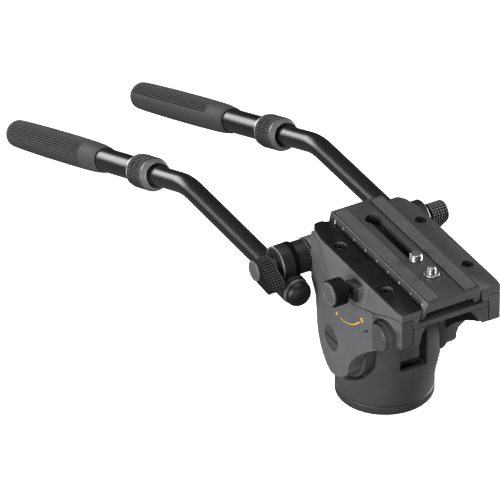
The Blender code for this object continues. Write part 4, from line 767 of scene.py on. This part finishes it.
# Tilt drag wheel, outwards from the middle plane; pan lock wheel, backwards from the pan axis
DRAG_WHEEL = [(41.8, 0.0), (41.8, 9.5, 0.2), (47.0, 9.5, 0.2), (47.0, 14.3, 0.4), (48.2, 15.5, 0.5),
              (58.8, 15.5, 0.5), (60.0, 14.3, 0.5), (60.0, 11.0, 0.3), (59.2, 10.5, 0.3), (59.2, 0.0)]
PAN_LOCK_WHEEL = [(30.3, 0.0), (30.3, 4.2, 0.1), (44.0, 4.2, 0.2), (44.0, 9.7, 0.4), (44.9, 10.5, 0.4),
                  (57.1, 10.5, 0.5), (58.0, 9.6, 0.4), (58.0, 6.5, 0.3), (57.4, 6.0, 0.3), (57.4, 0.0)]
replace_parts(turned("tilt_drag_wheel", DRAG_WHEEL, (0.0, 0.0, TILT_Z), X, Y, "tilt_knob", KNOB_BLACK,
                   "knob_black", 384, 0.6,
                   lambda s, a: dimples(s, a, 48.6, 58.4, rows=5, count=48.0, depth=0.6)), "tilt_drag_knob")
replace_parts(turned("pan_lock_wheel", PAN_LOCK_WHEEL, (0.0, 0.0, PAN_LOCK_Z), Y, X, "pan_lock", KNOB_BLACK,
                   "knob_black", 320, 0.6,
                   lambda s, a: dimples(s, a, 45.4, 56.6, rows=6, count=36.0, depth=0.6)), "pan_lock_knob")


# Camera screws with cut threads

def thread(s, angle, low, high, pitch, depth):
    """Height of a screw thread: a triangle wave of s/pitch - angle/2pi, faded at both ends."""
    phase = s / pitch - angle / (2.0 * np.pi)
    saw = np.abs(2.0 * (phase - np.floor(phase)) - 1.0)
    return -depth * band(s, low, high, 0.6) * saw


def bushing_thread(s, angle):
    """Thread inside the bushing's bore: a triangle wave that rises into the wall."""
    wave = 1.0 - np.abs(2.0 * ((s / COARSE_PITCH - angle / (2.0 * np.pi)) % 1.0) - 1.0)
    return BUSHING_CUT * band(s, 1.2, 7.5, 0.3) * wave


# Pitches of the 3/8 inch and 1/4 inch threads, how deep the bushing's is cut and the bushing's outline,
# and the levels of a camera screw's head, neck and collar
COARSE_PITCH, FINE_PITCH = 1.5875, 1.27
BUSHING_CUT = 0.5
BUSHING = [(0.6, 4.9, 0.1), (0.6, 11.5, 0.1), (1.3, 11.9, 0.1), (1.3, 13.1, 0.1), (0.6, 13.5, 0.1),
           (0.6, 18.2, 0.2), (1.1, 18.7, 0.2), (7.4, 18.7, 0.1), (7.4, 4.2, 0.1), (1.3, 4.2, 0.1)]
HEAD_LOW, HEAD_TOP, HEAD_R, NECK_R = 127.6, 133.7, 8.0, 3.6
STEP_Z, COLLAR_TOP = PLATE_TOP + 0.3, 141.2


def camera_screw(name, node, body, y, radius, top, pitch, depth, collar=0.0):
    """A camera screw: thread above the plate, an optional collar, a neck in the slot and a flat head."""
    corners = [(HEAD_LOW, 0.0), (HEAD_LOW, HEAD_R, 0.3), (HEAD_TOP, HEAD_R, 0.3), (HEAD_TOP, NECK_R),
               (STEP_Z, NECK_R)]
    if collar:
        corners += [(STEP_Z, collar, 0.1), (COLLAR_TOP, collar, 0.4), (COLLAR_TOP, radius, 0.1)]
    else:
        corners += [(STEP_Z, radius)]
    corners += [(top - 1.0, radius, 0.2), (top, radius - 1.0, 0.3), (top, 0.0)]
    low = COLLAR_TOP + 0.2 if collar else STEP_Z + 0.3
    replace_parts(turned(name, corners, (0.0, y, 0.0), Z, X, body, NICKEL, "nickel", 96, 0.16,
                       lambda s, a: thread(s, a, low, top - 0.2, pitch, depth), depth=depth), node)


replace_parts(turned("threaded_bushing", BUSHING, (0.0, 0.0, 0.0), Z, X, "base", STEEL, "steel", 128, 0.2,
                   bushing_thread, ring=True), "thread_bushing")
camera_screw("large_camera_thread", "camera_screw_3_8", "screw_3_8", y=-43.7, radius=4.76, top=145.0,
             pitch=COARSE_PITCH, depth=0.5)
camera_screw("small_camera_thread", "camera_screw_1_4", "screw_1_4", y=-66.0, radius=3.175, top=146.4,
             pitch=FINE_PITCH, depth=0.45, collar=5.8)


# Printed marks, seams, and painted highlight and shadow lines: thin closed ribbons just above the surface that
# carries them

def ribbon(name, centre_line, width, lift, normal, body, finish):
    """A flat strip along a line: across it, width/2 each way times (normal x tangent), and lift thick."""
    line = np.asarray(centre_line, float)
    tangent = np.gradient(line, axis=0)
    tangent /= np.linalg.norm(tangent, axis=1, keepdims=True)
    across = np.cross(normal, tangent) * (np.broadcast_to(width, len(line)) / 2.0)[:, None]
    up = np.asarray(normal, float) * lift
    ring = np.stack([line - across, line - across + up, line + across + up, line + across], axis=1)
    ends = np.repeat(line[[0, -1]][:, None], 4, axis=1)
    grid = np.concatenate([ends[:1], ring, ends[1:]])
    return skin(name, grid, body, finish)


def disc_mark(name, x, y, z, radius, hole, body, finish):
    """A printed dot or ring: a flat washer of 0.06 mm, whose profile turns about an axis along X."""
    turned(name, [(0.0, hole), (0.0, radius), (0.06, radius), (0.06, hole)], (x, y, z), -X, Y, body, finish,
           "cap_grey", 40, ring=hole > 0.0)


# Marks on the left cheek's face as (y, z): the arc's start, its run to its end, a dot, a ring and a wedge
ARC_START, ARC_RUN, ARC_WIDTH = (-14.5, 86.9), (-27.8, 12.7), 0.45
LOCKED, UNLOCKED = (-9.0, 87.3), (-45.5, 103.2)
WEDGE_FROM, WEDGE_TO = (-46.4, 92.9), (-54.0, 99.2)

t = np.linspace(0.0, 1.0, 33)
lock_arc = np.stack([np.full_like(t, -CHEEK_FACE), ARC_START[0] + ARC_RUN[0] * t,
                     ARC_START[1] + ARC_RUN[1] * t ** 2.2], axis=1)
ribbon("lock_arc", lock_arc, ARC_WIDTH * (1.0 + t), 0.06, -X, "tilt", YELLOW_PRINT)
disc_mark("locked_dot", -CHEEK_FACE, *LOCKED, 1.3, 0.0, "tilt", YELLOW_PRINT)
disc_mark("unlocked_ring", -CHEEK_FACE, *UNLOCKED, 1.9, 1.15, "tilt", YELLOW_PRINT)
wedge = np.linspace((-CHEEK_FACE, *WEDGE_FROM), (-CHEEK_FACE, *WEDGE_TO), 9)
ribbon("pointer_wedge", wedge, np.linspace(0.1, 2.6, 9), 0.05, -X, "tilt", DARK_MARK)

FLANK_NORMAL = np.array([-FLANK_DEPTH, 0.0, FLANK_OUT]) / math.hypot(FLANK_DEPTH, FLANK_OUT)
TICKS, FIRST_TICK_Y, TICK_PITCH = 8, 22.6, 16.2


def on_flank(y, drop):
    """Point on the plate's left flank, drop millimetres below its top: x falls outwards as it goes down."""
    return np.array([-PLATE_HALF - FLANK_OUT / FLANK_DEPTH * drop, y, PLATE_TOP - drop])


def flank_mark(name, line, width):
    """A white mark along a line of points on the left flank."""
    ribbon(name, np.stack(line), width, 0.05, FLANK_NORMAL, "plate", WHITE_PRINT)


for index in range(TICKS):
    y = FIRST_TICK_Y - TICK_PITCH * index
    flank_mark(f"plate_tick_{index}", [on_flank(y, drop) for drop in np.linspace(3.4, 4.9, 4)], 0.45)
flank_mark("plate_end_mark", [on_flank(34.0, drop) for drop in np.linspace(2.6, 7.6, 6)], 0.55)
flank_mark("plate_end_foot", [on_flank(y, 7.6) for y in np.linspace(34.2, 27.0, 6)], 0.45)

# A light ribbon along the plate's top left edge: a painted highlight
line = np.array([[-PLATE_HALF + 0.15, y, PLATE_TOP - 0.1] for y in np.linspace(-97.6, 41.6, 5)])
ribbon("plate_left_edge_highlight", line, 0.6, 0.05, np.array([-0.5, 0.0, 0.866]), "plate", EDGE_HIGHLIGHT_GREY)
SEAM_X, SEAM_LOW, SEAM_TOP = 31.9, 105.5, {"left": 121.4, "right": 121.8}
for word, side in SIDES.items():
    line = np.array([[side * SEAM_X, FRONT_END, z] for z in np.linspace(SEAM_LOW, SEAM_TOP[word], 5)])
    ribbon(f"{word}_front_seam", line, 0.5, 0.04, -Y, "tilt", SEAM_AND_SHADOW_BLACK)
# Dark lines beside the rubber strips: painted shadow, wider than the grooves there
for name, x, width in (("left_strip_outer_shadow", -21.0, 0.95), ("left_strip_inner_shadow", -10.25, 0.6),
                       ("right_strip_inner_shadow", 10.0, 1.0), ("right_strip_outer_shadow", 20.85, 0.5)):
    line = np.array([[x, y, PLATE_TOP] for y in np.linspace(-94.5, 38.5, 5)])
    ribbon(name, line, width, 0.04, Z, "plate", SEAM_AND_SHADOW_BLACK)


# Floor, light and camera

def thrown_share(tree, place):
    """1 to the camera and a small share to every other ray, so a pale surface throws little light back."""
    rays = tree.nodes.new("ShaderNodeLightPath")
    return ramp(tree, rays.outputs["Is Camera Ray"], 0.0, 1.0, 0.12, 1.0)


def stage_sheet():
    """A wide pale floor, well below the grips, which hang lower than the base."""
    mesh = bpy.data.meshes.new("studio_floor")
    half, level = 6.0, -0.6
    mesh.from_pydata([(-half, -half, 0.0), (half, -half, 0.0), (half, half, 0.0), (-half, half, 0.0)], [],
                     [(0, 1, 2, 3)])
    floor = bpy.data.objects.new("studio_floor", mesh)
    bpy.context.scene.collection.objects.link(floor)
    white = finish_of("white_studio_floor", (0.93, 0.93, 0.93), 0.9, 0.0, 40.0, 0.01, 0.02, 0.0,
                      shade=thrown_share, specular=0.1)
    shader = white.node_tree.nodes["Principled BSDF"]
    shader.inputs["Emission Color"].default_value = (1.0, 1.0, 1.0, 1.0)
    rays = white.node_tree.nodes.new("ShaderNodeLightPath")
    white.node_tree.links.new(rays.outputs["Is Camera Ray"], shader.inputs["Emission Strength"])
    mesh.materials.append(white)
    floor.location.z = level


def studio_world(seen, thrown):
    """A plain background: the first strength is what the camera sees, the second what lights the head."""
    world = bpy.data.worlds.new("studio")
    bpy.context.scene.world = world
    world.use_nodes = True
    tree = world.node_tree
    rays = tree.nodes.new("ShaderNodeLightPath")
    strength = ramp(tree, rays.outputs["Is Camera Ray"], 0.0, 1.0, thrown, seen)
    background = tree.nodes["Background"]
    background.inputs["Color"].default_value = (1.0, 1.0, 1.0, 1.0)
    tree.links.new(strength, background.inputs["Strength"])


stage_sheet()
studio_world(1.0, 0.04)


def softbox(name, place, target, size, power):
    """A large area light that looks at the target."""
    light = bpy.data.lights.new(name, "AREA")
    light.shape = "RECTANGLE"
    light.size, light.size_y = size
    light.energy = power
    obj = bpy.data.objects.new(name, light)
    obj.location = place
    obj.rotation_euler = (Vector(target) - Vector(place)).to_track_quat("-Z", "Y").to_euler()
    bpy.context.scene.collection.objects.link(obj)


# Name, place and target in metres, size in metres and power in watts
SOFTBOXES = (
    ("left_softbox", (-2.2, -0.5, 0.7), (0.0, 0.1, 0.08), (1.8, 1.4), 80.0),
    ("overhead_softbox", (0.1, 0.3, 2.4), (0.0, 0.1, 0.0), (1.6, 1.6), 34.0),
    ("front_softbox", (-0.5, -2.4, 0.15), (0.0, 0.0, 0.06), (1.2, 1.0), 17.0),
    ("right_softbox", (2.3, -0.1, 0.35), (0.0, 0.0, 0.06), (1.0, 1.4), 95.0),
    ("back_softbox", (-0.9, 2.5, 0.45), (0.0, 0.2, 0.05), (1.6, 1.0), 28.0),
)
for row in SOFTBOXES:
    softbox(*row)

# The photograph's camera: angles in degrees, and how far it stands back, to the side and up, in metres
AZIMUTH_DEG, ELEVATION_DEG, ROLL_DEG = -29.32, 33.94, -0.42
AIM_HEIGHT, ASIDE, ABOVE, AWAY = 0.060, -0.08426, 0.05171, 4.4355
SENSOR_MM, LENS_MM, SHIFT = 36.0, 432.0, (-0.042, 0.0006)


def photo_camera():
    """Camera at the photograph's viewing angle, worked out from the plate, the base and the rails."""
    azimuth, elevation, roll = math.radians(AZIMUTH_DEG), math.radians(ELEVATION_DEG), math.radians(ROLL_DEG)
    back = np.array([math.sin(azimuth) * math.cos(elevation), -math.cos(azimuth) * math.cos(elevation),
                     math.sin(elevation)])
    right = np.array([math.cos(azimuth), math.sin(azimuth), 0.0])
    up = np.cross(back, right)
    r = math.cos(roll) * right + math.sin(roll) * up
    u = -math.sin(roll) * right + math.cos(roll) * up
    place = AIM_HEIGHT * Z + ASIDE * r + ABOVE * u + AWAY * back
    camera = bpy.data.cameras.new("photo_camera")
    camera.sensor_width = SENSOR_MM
    camera.lens = LENS_MM
    camera.shift_x, camera.shift_y = SHIFT
    camera.clip_end = 100.0
    obj = bpy.data.objects.new("photo_camera", camera)
    turned_and_placed = np.vstack([np.column_stack([r, u, back, place]), [0.0, 0.0, 0.0, 1.0]])
    obj.matrix_world = Matrix(turned_and_placed.tolist())
    bpy.context.scene.collection.objects.link(obj)
    bpy.context.scene.camera = obj


photo_camera()
bpy.context.scene.view_settings.view_transform = "Standard"
